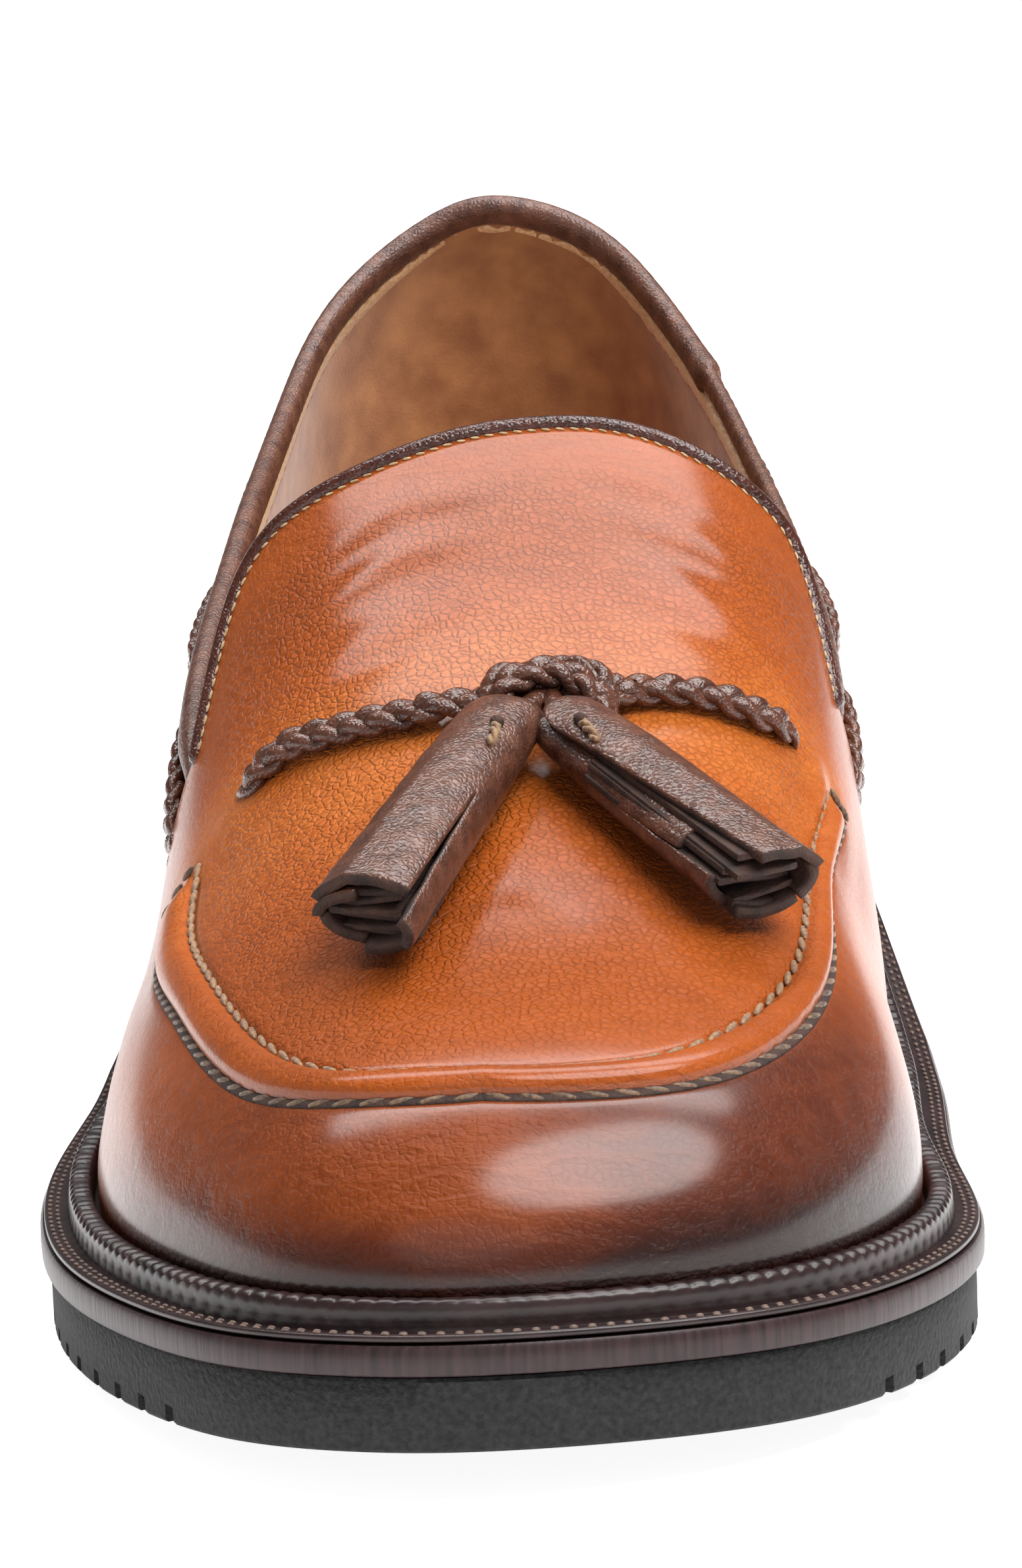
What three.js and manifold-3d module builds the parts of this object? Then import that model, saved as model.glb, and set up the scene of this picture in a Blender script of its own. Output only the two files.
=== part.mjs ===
// Tassel loafer, left shoe, in millimetres.
// The toe points to -Y, the little-toe side is +X and +Z is up. The floor is at z = 0.
import * as THREE from 'three';
import { mergeVertices } from 'three/addons/utils/BufferGeometryUtils.js';
import Module from 'manifold-3d';

const wasm = await Module();
wasm.setup();

// Driving dimensions of the last
const lastLength = 284;
const ballWidth = 93.5;
const instepHeight = 76.8;
const collarHeight = 76.6;
const toeSpring = 5.8;
const spineStart = 0.1;
const spineEnd = 0.86;

// Driving dimensions of the bottom
const heelRise = 17.9;
const heelLength = 76;
const outsoleThickness = 8;
const midsoleThickness = 3.6;
const flangeThickness = 0.7;
const ribHeight = 3.3;
const soleMargin = 7.05;
const outsoleInset = 1;
const heelTaper = 1.5;
const insoleThickness = 3;
const lugHeight = 2;
const lugPitch = 7;
const lugGap = 2;
const lugDepth = 11;
const treadGroove = 3;
const treadPitch = 12;

// Driving dimensions of the upper and its trim
const wall = 1.8;
const rollHeight = 1.6;
const bindingWidth = 4.8;
const pipingWidth = 2.2;
const laceWidth = 4.2;
const knotWidth = 15;
const tasselLength = 41;
const tasselWidth = 12.5;
const tasselFlare = 17;
const stripThickness = 1.6;
const seatGap = 0.3;

// Facets
const tubeSides = 8;
const halfTurns = 13;
const weldTolerance = 1e-3;

// Feather line: shares of the ball width inwards and outwards of the centre line, heel to toe
const feather = [
	{ along: 0, inner: 0, outer: 0 },
	{ along: 0.018, inner: 0.154, outer: 0.199 },
	{ along: 0.07, inner: 0.277, outer: 0.307 },
	{ along: 0.15, inner: 0.332, outer: 0.373 },
	{ along: 0.25, inner: 0.37, outer: 0.413 },
	{ along: 0.37, inner: 0.411, outer: 0.452 },
	{ along: 0.5, inner: 0.463, outer: 0.475 },
	{ along: 0.62, inner: 0.504, outer: 0.48 },
	{ along: 0.72, inner: 0.53, outer: 0.467 },
	{ along: 0.82, inner: 0.499, outer: 0.47 },
	{ along: 0.9, inner: 0.414, outer: 0.403 },
	{ along: 0.96, inner: 0.307, outer: 0.276 },
	{ along: 0.99, inner: 0.189, outer: 0.113 },
	{ along: 1, inner: 0.062, outer: -0.062 },
];

// Spine of the last: height over the feather line, and shift to the little-toe side in shares of
// the ball width
const spine = [
	{ along: 0.1, height: 1.089 * collarHeight, shift: 0.056 },
	{ along: 0.22, height: 1.057 * collarHeight, shift: 0.057 },
	{ along: 0.34, height: 1.017 * collarHeight, shift: 0.057 },
	{ along: 0.46, height: instepHeight, shift: 0.05 },
	{ along: 0.56, height: 0.871 * instepHeight, shift: 0.047 },
	{ along: 0.66, height: 0.674 * instepHeight, shift: 0.042 },
	{ along: 0.76, height: 0.536 * instepHeight, shift: 0.011 },
	{ along: 0.86, height: 0.379 * instepHeight, shift: -0.032 },
];

// Sections: how far each side rises before it turns in (low), how flat it meets the spine (high),
// and its bulge in mm
const sections = [
	{ along: 0, innerLow: 0.839, outerLow: 0.839, innerHigh: 0.716, outerHigh: 0.716, bulge: 3.4 },
	{ along: 0.15, innerLow: 0.805, outerLow: 0.827, innerHigh: 0.76, outerHigh: 0.774, bulge: 2.6 },
	{ along: 0.3, innerLow: 0.77, outerLow: 0.798, innerHigh: 0.806, outerHigh: 0.826, bulge: 1.8 },
	{ along: 0.45, innerLow: 0.687, outerLow: 0.757, innerHigh: 0.807, outerHigh: 0.851, bulge: 1.7 },
	{ along: 0.6, innerLow: 0.49, outerLow: 0.662, innerHigh: 0.634, outerHigh: 0.768, bulge: 1.5 },
	{ along: 0.8, innerLow: 0.47, outerLow: 0.65, innerHigh: 0.561, outerHigh: 0.709, bulge: 2.4 },
	{ along: 1, innerLow: 0.583, outerLow: 0.583, innerHigh: 0.587, outerHigh: 0.587, bulge: 3.1 },
];

// Top line of the quarters: height over the feather line
const topLine = [
	{ along: 0, inner: collarHeight, outer: collarHeight },
	{ along: 0.1, inner: 0.778 * collarHeight, outer: 0.778 * collarHeight },
	{ along: 0.22, inner: 0.62 * collarHeight, outer: 0.62 * collarHeight },
	{ along: 0.34, inner: 0.535 * collarHeight, outer: 0.535 * collarHeight },
	{ along: 0.44, inner: 0.525 * collarHeight, outer: 0.535 * collarHeight },
	{ along: 0.55, inner: 0.505 * collarHeight, outer: 0.535 * collarHeight },
];

// Top edge of the tongue on the last: row is the share round the feather line, up the share to the spine
const tongueInner = [
	{ row: 0.489, up: 0.375 },
	{ row: 0.475, up: 0.425 },
	{ row: 0.463, up: 0.478 },
	{ row: 0.457, up: 0.54 },
	{ row: 0.457, up: 0.63 },
	{ row: 0.46, up: 0.75 },
	{ row: 0.46, up: 0.86 },
	{ row: 0.4585, up: 0.94 },
];
const tongueOuter = [
	{ row: 0.4575, up: 0.995 },
	{ row: 0.457, up: 0.9 },
	{ row: 0.458, up: 0.81 },
	{ row: 0.459, up: 0.71 },
	{ row: 0.458, up: 0.6 },
	{ row: 0.457, up: 0.51 },
	{ row: 0.462, up: 0.445 },
	{ row: 0.473, up: 0.398 },
	{ row: 0.487, up: 0.36 },
];

// Apron roll on the last: its outer and inner seam as shares up each side
const apron = [
	{ row: 0, outerSeam: 0.38, outerEdge: 0.44, innerSeam: 0.33, innerEdge: 0.43 },
	{ row: 0.54, outerSeam: 0.38, outerEdge: 0.44, innerSeam: 0.33, innerEdge: 0.43 },
	{ row: 0.6, outerSeam: 0.455, outerEdge: 0.503, innerSeam: 0.36, innerEdge: 0.445 },
	{ row: 0.66, outerSeam: 0.488, outerEdge: 0.547, innerSeam: 0.425, innerEdge: 0.503 },
	{ row: 0.72, outerSeam: 0.502, outerEdge: 0.574, innerSeam: 0.455, innerEdge: 0.543 },
	{ row: 0.78, outerSeam: 0.506, outerEdge: 0.59, innerSeam: 0.467, innerEdge: 0.56 },
	{ row: 0.85, outerSeam: 0.519, outerEdge: 0.602, innerSeam: 0.513, innerEdge: 0.592 },
	{ row: 0.92, outerSeam: 0.541, outerEdge: 0.618, innerSeam: 0.547, innerEdge: 0.625 },
	{ row: 1, outerSeam: 0.565, outerEdge: 0.637, innerSeam: 0.565, innerEdge: 0.637 },
];
const apronStart = 0.548;
const apronFade = 0.02;

// Smooth curves through table rows
function smoothTable( rows, key, name ) {

	const x = rows.map( ( row ) => row[ key ] );
	const y = rows.map( ( row ) => row[ name ] );
	const last = x.length - 1;
	const slopes = y.map( () => 0 );
	for ( let pass = 0; pass < 60; pass ++ ) {

		slopes[ 0 ] = ( 3 * ( y[ 1 ] - y[ 0 ] ) / ( x[ 1 ] - x[ 0 ] ) - slopes[ 1 ] ) / 2;
		for ( let i = 1; i < last; i ++ ) {

			const before = x[ i ] - x[ i - 1 ];
			const after = x[ i + 1 ] - x[ i ];
			const pull = 3 * ( y[ i ] - y[ i - 1 ] ) / before ** 2 + 3 * ( y[ i + 1 ] - y[ i ] ) / after ** 2;
			const known = slopes[ i - 1 ] / before + slopes[ i + 1 ] / after;
			slopes[ i ] = ( pull - known ) / ( 2 / before + 2 / after );

		}

		const endPull = 3 * ( y[ last ] - y[ last - 1 ] ) / ( x[ last ] - x[ last - 1 ] );
		slopes[ last ] = ( endPull - slopes[ last - 1 ] ) / 2;

	}

	return ( at ) => {

		const t = THREE.MathUtils.clamp( at, x[ 0 ], x[ last ] );
		let i = 0;
		while ( i < last - 1 && t > x[ i + 1 ] ) i ++;
		const step = x[ i + 1 ] - x[ i ];
		return hermite( ( t - x[ i ] ) / step, y[ i ], y[ i + 1 ], slopes[ i ] * step, slopes[ i + 1 ] * step );

	};

}

function hermite( t, from, to, slopeFrom, slopeTo ) {

	const t2 = t * t;
	const t3 = t2 * t;
	return ( 2 * t3 - 3 * t2 + 1 ) * from + ( t3 - 2 * t2 + t ) * slopeFrom
		+ ( 3 * t2 - 2 * t3 ) * to + ( t3 - t2 ) * slopeTo;

}

// Feather line as one closed curve: turn runs from 0 at the heel over the inner side to halfTurns
// at the toe and back
const featherPoints = [
	...feather.map( ( f ) => [ - f.inner * ballWidth, ( 0.5 - f.along ) * lastLength ] ),
	...feather.slice( 1, - 1 ).reverse().map( ( f ) => [ f.outer * ballWidth, ( 0.5 - f.along ) * lastLength ] ),
];
const featherCount = featherPoints.length;
const featherSlopes = featherPoints.map( () => [ 0, 0 ] );
for ( let pass = 0; pass < 60; pass ++ ) {

	for ( let i = 0; i < featherCount; i ++ ) {

		const before = ( i + featherCount - 1 ) % featherCount;
		const after = ( i + 1 ) % featherCount;
		for ( const axis of [ 0, 1 ] ) {

			const pull = 3 * ( featherPoints[ after ][ axis ] - featherPoints[ before ][ axis ] );
			const known = featherSlopes[ before ][ axis ] + featherSlopes[ after ][ axis ];
			featherSlopes[ i ][ axis ] = ( pull - known ) / 4;

		}

	}

}

function featherAt( turn ) {

	const wrapped = ( ( turn % featherCount ) + featherCount ) % featherCount;
	const i = Math.floor( wrapped );
	const next = ( i + 1 ) % featherCount;
	return new THREE.Vector2( ...[ 0, 1 ].map( ( axis ) => hermite( wrapped - i, featherPoints[ i ][ axis ],
		featherPoints[ next ][ axis ], featherSlopes[ i ][ axis ], featherSlopes[ next ][ axis ] ) ) );

}

function featherNormal( turn ) {

	const step = 0.01;
	const run = featherAt( turn + step ).sub( featherAt( turn - step ) ).normalize();
	return new THREE.Vector2( run.y, - run.x );

}

function offsetFeather( turn, offset ) {

	return featherAt( turn ).addScaledVector( featherNormal( turn ), offset );

}

function alongOf( y ) {

	return 0.5 - y / lastLength;

}

function smoothStep( t ) {

	return THREE.MathUtils.smoothstep( t, 0, 1 );

}

// Underside of the outsole over the floor: the heel block fills the rise, the ball lies flat and
// the toe springs up
const heelEnd = heelLength / lastLength;
const ballStart = 0.6;
const ballEnd = 0.7;

function groundAt( y ) {

	const along = alongOf( y );
	const toe = Math.max( 0, ( along - ballEnd ) / ( 1 - ballEnd ) );
	return toeSpring * toe * toe + heelRise * smoothStep( ( ballStart - along ) / ( ballStart - heelEnd ) );

}

// How far the midsole stands out of the feather line: narrow at the heel, full from the waist forwards
function marginAt( along ) {

	const heelShare = 0.55;
	const from = 0.3;
	const reach = 0.25;
	const share = THREE.MathUtils.clamp( ( along - from ) / reach, 0, 1 );
	return soleMargin * ( heelShare + ( 1 - heelShare ) * share );

}

const midsoleBottom = outsoleThickness;
const midsoleTop = midsoleBottom + midsoleThickness;
const flangeTop = midsoleTop + seatGap + flangeThickness;
const featherHeight = flangeTop + seatGap;

// The last
const spineHeight = smoothTable( spine, 'along', 'height' );
const spineShift = smoothTable( spine, 'along', 'shift' );
const bulgeTable = smoothTable( sections, 'along', 'bulge' );
const sideTables = [ 'inner', 'outer' ].map( ( side ) => ( {
	low: smoothTable( sections, 'along', side + 'Low' ),
	high: smoothTable( sections, 'along', side + 'High' ),
	top: smoothTable( topLine, 'along', side ),
} ) );

function lastRow( turn ) {

	const point = featherAt( turn );
	const facing = featherAt( - turn );
	const wrapped = ( ( turn % featherCount ) + featherCount ) % featherCount;
	const side = wrapped <= halfTurns ? 0 : 1;
	const middle = ( 0.5 - ( spineStart + spineEnd ) / 2 ) * lastLength;
	const reach = ( spineEnd - spineStart ) / 2 * lastLength;
	const share = ( ( point.y + facing.y ) / 2 - middle ) / reach;
	const crestY = middle + reach * share / ( 1 + share ** 6 ) ** ( 1 / 6 );
	const crestAlong = alongOf( crestY );
	const crest = new THREE.Vector2( spineShift( crestAlong ) * ballWidth, crestY );
	const base = groundAt( point.y ) + featherHeight;
	const top = groundAt( crestY ) + featherHeight + spineHeight( crestAlong );
	const along = alongOf( point.y );
	const inwards = crest.clone().sub( point );
	const depth = inwards.length();
	inwards.normalize();
	const tables = sideTables[ side ];
	return { point, inwards, depth, base, rise: top - base, low: tables.low( along ), high: tables.high( along ),
		bulge: bulgeTable( along ), top: tables.top( along ) };

}

function profileRise( row, up ) {

	const down = 1 - up;
	return row.rise * ( 3 * up * down * down * row.low + 3 * up * up * down + up ** 3 );

}

function onRow( row, up ) {

	const down = 1 - up;
	const inwards = 3 * up * down * down * - row.bulge + 3 * up * up * down * row.depth * ( 1 - row.high )
		+ up ** 3 * row.depth;
	return new THREE.Vector3( row.point.x + row.inwards.x * inwards, row.point.y + row.inwards.y * inwards,
		row.base + profileRise( row, up ) );

}

function onLast( turn, up ) {

	return onRow( lastRow( turn ), up );

}

// Outward normal of the last; near the spine's ends the rows meet, so it is read a little lower there
function lastNormal( turn, up ) {

	const step = 0.004;
	const height = Math.min( up, 0.97 );
	const round = onLast( turn + step, height ).sub( onLast( turn - step, height ) );
	const upwards = onLast( turn, height + step ).sub( onLast( turn, height - step ) );
	return round.cross( upwards ).normalize();

}

function offLast( turn, up, lift ) {

	return onLast( turn, up ).addScaledVector( lastNormal( turn, up ), lift );

}

// Share up the row at which its profile reaches a height over the feather line
function upAtHeight( turn, height ) {

	const row = lastRow( turn );
	let low = 0;
	let high = 1;
	for ( let pass = 0; pass < 30; pass ++ ) {

		const middle = ( low + high ) / 2;
		if ( profileRise( row, middle ) < height ) low = middle;
		else high = middle;

	}

	return low;

}

// Closed solids from rings of points: each ring joins the next, and the first and last are closed across
function ringsToGeometry( rings, closed = false ) {

	const size = rings[ 0 ].length;
	const positions = rings.flat().flatMap( ( p ) => [ p.x, p.y, p.z ] );
	const index = [];
	const quad = ( a, b, c, d ) => index.push( a, b, c, a, c, d );
	const joins = closed ? rings.length : rings.length - 1;
	for ( let i = 0; i < joins; i ++ ) {

		const here = i * size;
		const there = ( ( i + 1 ) % rings.length ) * size;
		for ( let j = 0; j < size; j ++ ) {

			const next = ( j + 1 ) % size;
			quad( here + j, here + next, there + next, there + j );

		}

	}

	if ( ! closed ) {

		const end = ( rings.length - 1 ) * size;
		for ( let j = 0; j < size / 2 - 1; j ++ ) {

			quad( size - 1 - j, size - 2 - j, j + 1, j );
			quad( end + j, end + j + 1, end + size - 2 - j, end + size - 1 - j );

		}

	}

	const geometry = new THREE.BufferGeometry();
	geometry.setAttribute( 'position', new THREE.Float32BufferAttribute( positions, 3 ) );
	geometry.setIndex( index );
	return weld( geometry );

}

// Shared vertices merged, faces that closed to a line dropped, and all faces pointing out
function weld( source ) {

	const bare = source.clone();
	bare.deleteAttribute( 'normal' );
	bare.deleteAttribute( 'uv' );
	const geometry = mergeVertices( bare, weldTolerance );
	const index = geometry.index.array;
	const points = geometry.attributes.position;
	const kept = [];
	let volume = 0;
	const [ a, b, c ] = [ new THREE.Vector3(), new THREE.Vector3(), new THREE.Vector3() ];
	for ( let i = 0; i < index.length; i += 3 ) {

		const [ i0, i1, i2 ] = [ index[ i ], index[ i + 1 ], index[ i + 2 ] ];
		if ( i0 === i1 || i1 === i2 || i0 === i2 ) continue;
		kept.push( [ i0, i1, i2 ] );
		a.fromBufferAttribute( points, i0 );
		b.fromBufferAttribute( points, i1 );
		c.fromBufferAttribute( points, i2 );
		volume += a.dot( b.cross( c ) );

	}

	geometry.setIndex( kept.flatMap( ( face ) => volume < 0 ? [ face[ 0 ], face[ 2 ], face[ 1 ] ] : face ) );
	geometry.computeVertexNormals();
	return geometry;

}

function toSolid( geometry ) {

	const welded = weld( geometry );
	return new wasm.Manifold( new wasm.Mesh( {
		numProp: 3,
		vertProperties: new Float32Array( welded.attributes.position.array ),
		triVerts: new Uint32Array( welded.index.array ),
	} ) );

}

function toGeometry( solid ) {

	const mesh = solid.getMesh();
	const geometry = new THREE.BufferGeometry();
	geometry.setAttribute( 'position', new THREE.BufferAttribute( new Float32Array( mesh.vertProperties ), 3 ) );
	geometry.setIndex( Array.from( mesh.triVerts ) );
	geometry.computeVertexNormals();
	return geometry;

}

function joined( geometries ) {

	const solids = geometries.map( toSolid );
	return solids.reduce( ( whole, next ) => whole.add( next ) );

}

const shoe = new THREE.Group();
const nodes = [];

function addNode( name, geometry, finish ) {

	const material = new THREE.MeshStandardMaterial( finish );
	const mesh = new THREE.Mesh( geometry, material );
	mesh.name = name;
	shoe.add( mesh );
	nodes.push( mesh );
	return mesh;

}

const tanLeather = { color: '#b5622a', roughness: 0.32, metalness: 0 };
const brownLeather = { color: '#4a2c22', roughness: 0.5, metalness: 0 };
const soleLeather = { color: '#463032', roughness: 0.45, metalness: 0 };
const sockLeather = { color: '#a87b50', roughness: 0.8, metalness: 0 };
const blackRubber = { color: '#2b2b2d', roughness: 0.85, metalness: 0 };

// A plate between two heights over the ground line, across the whole outline or part of it
function plate( turns, offset, bottom, top ) {

	return ringsToGeometry( turns.map( ( turn ) => {

		const inner = offsetFeather( turn, offset( turn ) );
		const outer = offsetFeather( - turn, offset( - turn ) );
		return [
			new THREE.Vector3( inner.x, inner.y, bottom( inner.y ) ),
			new THREE.Vector3( inner.x, inner.y, top( inner.y ) ),
			new THREE.Vector3( outer.x, outer.y, top( outer.y ) ),
			new THREE.Vector3( outer.x, outer.y, bottom( outer.y ) ),
		];

	} ) );

}

function turnsBetween( from, to, steps ) {

	return Array.from( { length: steps + 1 }, ( _, i ) => from + ( to - from ) * i / steps );

}

// Turn on the inner side at which the feather line passes a share along the last
function turnAtAlong( along ) {

	let low = 0;
	let high = halfTurns;
	for ( let pass = 0; pass < 30; pass ++ ) {

		const middle = ( low + high ) / 2;
		if ( alongOf( featherAt( middle ).y ) < along ) low = middle;
		else high = middle;

	}

	return low;

}

const plateSteps = 38;
const allTurns = turnsBetween( 0, halfTurns, plateSteps );
const edgeMargin = ( turn ) => marginAt( alongOf( featherAt( turn ).y ) );
const outsoleMargin = ( turn ) => edgeMargin( turn ) - outsoleInset;

// Midsole
addNode( 'midsole', plate( allTurns, edgeMargin,
	( y ) => groundAt( y ) + midsoleBottom + seatGap,
	( y ) => groundAt( y ) + midsoleTop ), soleLeather );

// Outsole: a plate with side lugs cut in its lower edge, a groove inside them and grooves across the tread
function cutter( centre, angle, width, depth, height ) {

	const box = new THREE.BoxGeometry( width, depth, height );
	box.rotateZ( angle );
	box.translate( centre.x, centre.y, centre.z );
	return box;

}

function lugCutters( fromAlong, toAlong, margin, rise ) {

	const cutters = [];
	for ( const side of [ 1, - 1 ] ) {

		const end = turnAtAlong( toAlong );
		const step = 0.02;
		let run = 0;
		for ( let turn = turnAtAlong( fromAlong ); turn < end; turn += step ) {

			const here = offsetFeather( side * turn, margin( side * turn ) );
			run += here.distanceTo( offsetFeather( side * ( turn + step ), margin( side * ( turn + step ) ) ) );
			if ( run < lugPitch ) continue;
			run -= lugPitch;
			const out = featherNormal( side * turn );
			const middle = here.clone().addScaledVector( out, - lugDepth / 2 );
			const centre = new THREE.Vector3( middle.x, middle.y, rise( here.y ) );
			cutters.push( cutter( centre, Math.atan2( out.x, - out.y ), lugGap, lugDepth + lugGap, 2 * lugHeight ) );

		}

	}

	return cutters;

}

const treadStart = heelEnd + 0.05;
const treadEnd = 0.9;
const grooveStart = turnAtAlong( treadStart );
const grooveTurns = turnsBetween( grooveStart, featherCount - grooveStart, plateSteps );
const treadRing = ringsToGeometry( grooveTurns.map( ( turn ) => {

	const outer = offsetFeather( turn, outsoleMargin( turn ) - lugDepth );
	const inner = offsetFeather( turn, outsoleMargin( turn ) - lugDepth - treadGroove );
	return [ [ outer, - lugHeight ], [ outer, lugHeight ], [ inner, lugHeight ], [ inner, - lugHeight ] ].map(
		( [ p, z ] ) => new THREE.Vector3( p.x, p.y, groundAt( outer.y ) + z ) );

} ) );
const ballMiddle = ( 0.5 - ( ballStart + ballEnd ) / 2 ) * lastLength;
const crossCutters = [];
for ( let y = ballMiddle + treadPitch / 2; alongOf( y ) > treadStart + 0.02; y += treadPitch ) {

	crossCutters.push( y );

}

for ( let y = ballMiddle - treadPitch / 2; alongOf( y ) < treadEnd; y -= treadPitch ) {

	crossCutters.push( y );

}

const crossBoxes = crossCutters.map( ( y ) => {

	const turn = turnAtAlong( alongOf( y ) );
	const inner = offsetFeather( turn, outsoleMargin( turn ) - lugDepth );
	const outer = offsetFeather( - turn, outsoleMargin( - turn ) - lugDepth );
	const centre = new THREE.Vector3( ( inner.x + outer.x ) / 2, y, groundAt( y ) );
	return cutter( centre, 0, outer.x - inner.x - treadGroove, treadGroove, 2 * lugHeight );

} );
const outsolePlate = toSolid( plate( allTurns, outsoleMargin, groundAt,
	( y ) => groundAt( y ) + outsoleThickness ) );
const sideCuts = lugCutters( treadStart, treadEnd, outsoleMargin, groundAt );
const outsole = [ treadRing, ...crossBoxes, ...sideCuts ].reduce(
	( solid, cut ) => solid.subtract( toSolid( cut ) ), outsolePlate );
addNode( 'outsole', toGeometry( outsole ), blackRubber );

// Heel block
const heelTurns = turnsBetween( 0, turnAtAlong( heelEnd ), 16 );
const heelOffset = ( turn ) => outsoleMargin( turn ) - heelTaper / 2;
const heelBlock = ringsToGeometry( heelTurns.map( ( turn ) => {

	const ring = [ turn, - turn ].map( ( at ) => [ heelOffset( at ) - heelTaper / 2, heelOffset( at ) ].map(
		( offset, level ) => {

			const p = offsetFeather( at, offset );
			return new THREE.Vector3( p.x, p.y, level * ( heelRise - seatGap ) );

		} ) );
	return [ ring[ 0 ][ 0 ], ring[ 0 ][ 1 ], ring[ 1 ][ 1 ], ring[ 1 ][ 0 ] ];

} ) );
const heelCuts = lugCutters( 0.03, heelEnd - 0.02, heelOffset, () => 0 );
const heel = heelCuts.reduce( ( solid, cut ) => solid.subtract( toSolid( cut ) ), toSolid( heelBlock ) );
addNode( 'heel', toGeometry( heel ), blackRubber );

// Welt: a flange on the midsole with a raised rib round the upper, shares of the margin outwards
const weltSection = [
	{ out: - 0.75, height: 0 },
	{ out: 0.9, height: 0 },
	{ out: 0.9, height: flangeThickness },
	{ out: 0.56, height: flangeThickness },
	{ out: 0.5, height: flangeThickness + 0.9 * ribHeight },
	{ out: 0.4, height: flangeThickness + ribHeight },
	{ out: 0.12, height: flangeThickness + ribHeight },
	{ out: 0.09, height: flangeThickness },
	{ out: - 0.75, height: flangeThickness },
];
const weltTurns = turnsBetween( 0, featherCount, 64 ).slice( 0, - 1 );
addNode( 'welt', ringsToGeometry( weltTurns.map( ( turn ) => weltSection.map( ( corner ) => {

	const p = offsetFeather( turn, corner.out * edgeMargin( turn ) );
	return new THREE.Vector3( p.x, p.y, groundAt( p.y ) + midsoleTop + seatGap + corner.height );

} ) ), true ), soleLeather );

// Insole, inside the upper and on the welt's flange
const insoleOffset = () => - wall - 2 * seatGap;
addNode( 'insole', plate( allTurns, insoleOffset,
	( y ) => groundAt( y ) + featherHeight,
	( y ) => groundAt( y ) + featherHeight + insoleThickness ), sockLeather );

// Edge of the opening: from the heel along the inner quarter, over the tongue and back along the
// outer quarter
const cornerInner = tongueInner[ 0 ].row * halfTurns;
const cornerOuter = - tongueOuter[ tongueOuter.length - 1 ].row * halfTurns;
const quarterSteps = 15;
const quarterInner = turnsBetween( 0, cornerInner, quarterSteps ).slice( 0, - 1 );
const quarterOuter = turnsBetween( cornerOuter, 0, quarterSteps ).slice( 1, - 1 );
const quarterEdge = ( turn ) => ( {
	turn,
	up: upAtHeight( turn, lastRow( turn ).top ),
	trim: bindingWidth,
} );
const tongueEdge = ( side ) => ( point ) => ( {
	turn: side * point.row * halfTurns,
	up: point.up,
	trim: pipingWidth,
} );
const rim = [
	...quarterInner.map( quarterEdge ),
	...tongueInner.map( tongueEdge( 1 ) ),
	...tongueOuter.map( tongueEdge( - 1 ) ),
	...quarterOuter.map( quarterEdge ),
];
rim.forEach( ( edge ) => {

	edge.point = onLast( edge.turn, edge.up );
	edge.normal = lastNormal( edge.turn, edge.up );

} );
rim.forEach( ( edge, i ) => {

	const before = rim[ ( i + rim.length - 1 ) % rim.length ].point;
	const after = rim[ ( i + 1 ) % rim.length ].point;
	edge.down = after.clone().sub( before ).cross( edge.normal ).normalize();

} );
const cutEdge = rim.map( ( edge ) => edge.point.clone().addScaledVector( edge.down, edge.trim + seatGap ) );

// Upper: the last with its apron roll, less the last set in by the wall, less the opening
const seamTables = [
	{ seam: smoothTable( apron, 'row', 'outerSeam' ), edge: smoothTable( apron, 'row', 'outerEdge' ) },
	{ seam: smoothTable( apron, 'row', 'innerSeam' ), edge: smoothTable( apron, 'row', 'innerEdge' ) },
];
const wallSteps = 5;
const rollSteps = 4;
const apronSteps = 5;

function upperColumn( turn ) {

	const row = Math.abs( turn ) / halfTurns;
	const tables = seamTables[ turn >= 0 ? 0 : 1 ];
	const seam = tables.seam( row );
	const edge = tables.edge( row );
	const raised = rollHeight * smoothStep( ( row - apronStart ) / apronFade );
	const points = [];
	for ( let i = 0; i < wallSteps; i ++ ) points.push( onLast( turn, seam * i / wallSteps ) );
	for ( let i = 0; i <= rollSteps; i ++ ) {

		const share = i / rollSteps;
		points.push( offLast( turn, seam + ( edge - seam ) * share, raised * Math.sin( Math.PI * share ) ** 0.7 ) );

	}

	for ( let i = 1; i <= apronSteps; i ++ ) points.push( onLast( turn, edge + ( 1 - edge ) * i / apronSteps ) );
	return points;

}

function cavityColumn( turn ) {

	const steps = 9;
	const points = Array.from( { length: steps + 1 }, ( _, i ) => offLast( turn, i / steps, - wall ) );
	const floor = points[ 0 ].clone();
	floor.z -= 2 * insoleThickness;
	return [ floor, ...points ];

}

function bothSides( column ) {

	return ( turn ) => {

		const inner = column( turn );
		const outer = column( - turn );
		const crest = inner.pop().lerp( outer.pop(), 0.5 );
		return [ ...inner, crest, crest.clone(), ...outer.reverse() ];

	};

}

const upperTurns = turnsBetween( 0, halfTurns, 42 );
const cavityTurns = turnsBetween( 0, halfTurns, 26 );
const outerForm = toSolid( ringsToGeometry( upperTurns.map( bothSides( upperColumn ) ) ) );
const cavity = toSolid( ringsToGeometry( cavityTurns.map( bothSides( cavityColumn ) ) ) );
const apex = onLast( 0.4 * halfTurns, 1 );
apex.z = groundAt( apex.y ) + featherHeight + 0.35 * instepHeight;
const coneReach = 5;
const coneIndex = [];
const conePoints = cutEdge.map( ( p ) => apex.clone().lerp( p, coneReach ) );
const coneTop = new THREE.Vector3();
for ( const p of conePoints ) coneTop.addScaledVector( p, 1 / conePoints.length );
const apexIndex = conePoints.length;
conePoints.forEach( ( _, i ) => {

	const next = ( i + 1 ) % apexIndex;
	coneIndex.push( i, next, apexIndex, next, i, apexIndex + 1 );

} );
const cone = new THREE.BufferGeometry().setFromPoints( [ ...conePoints, apex, coneTop ] );
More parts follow.
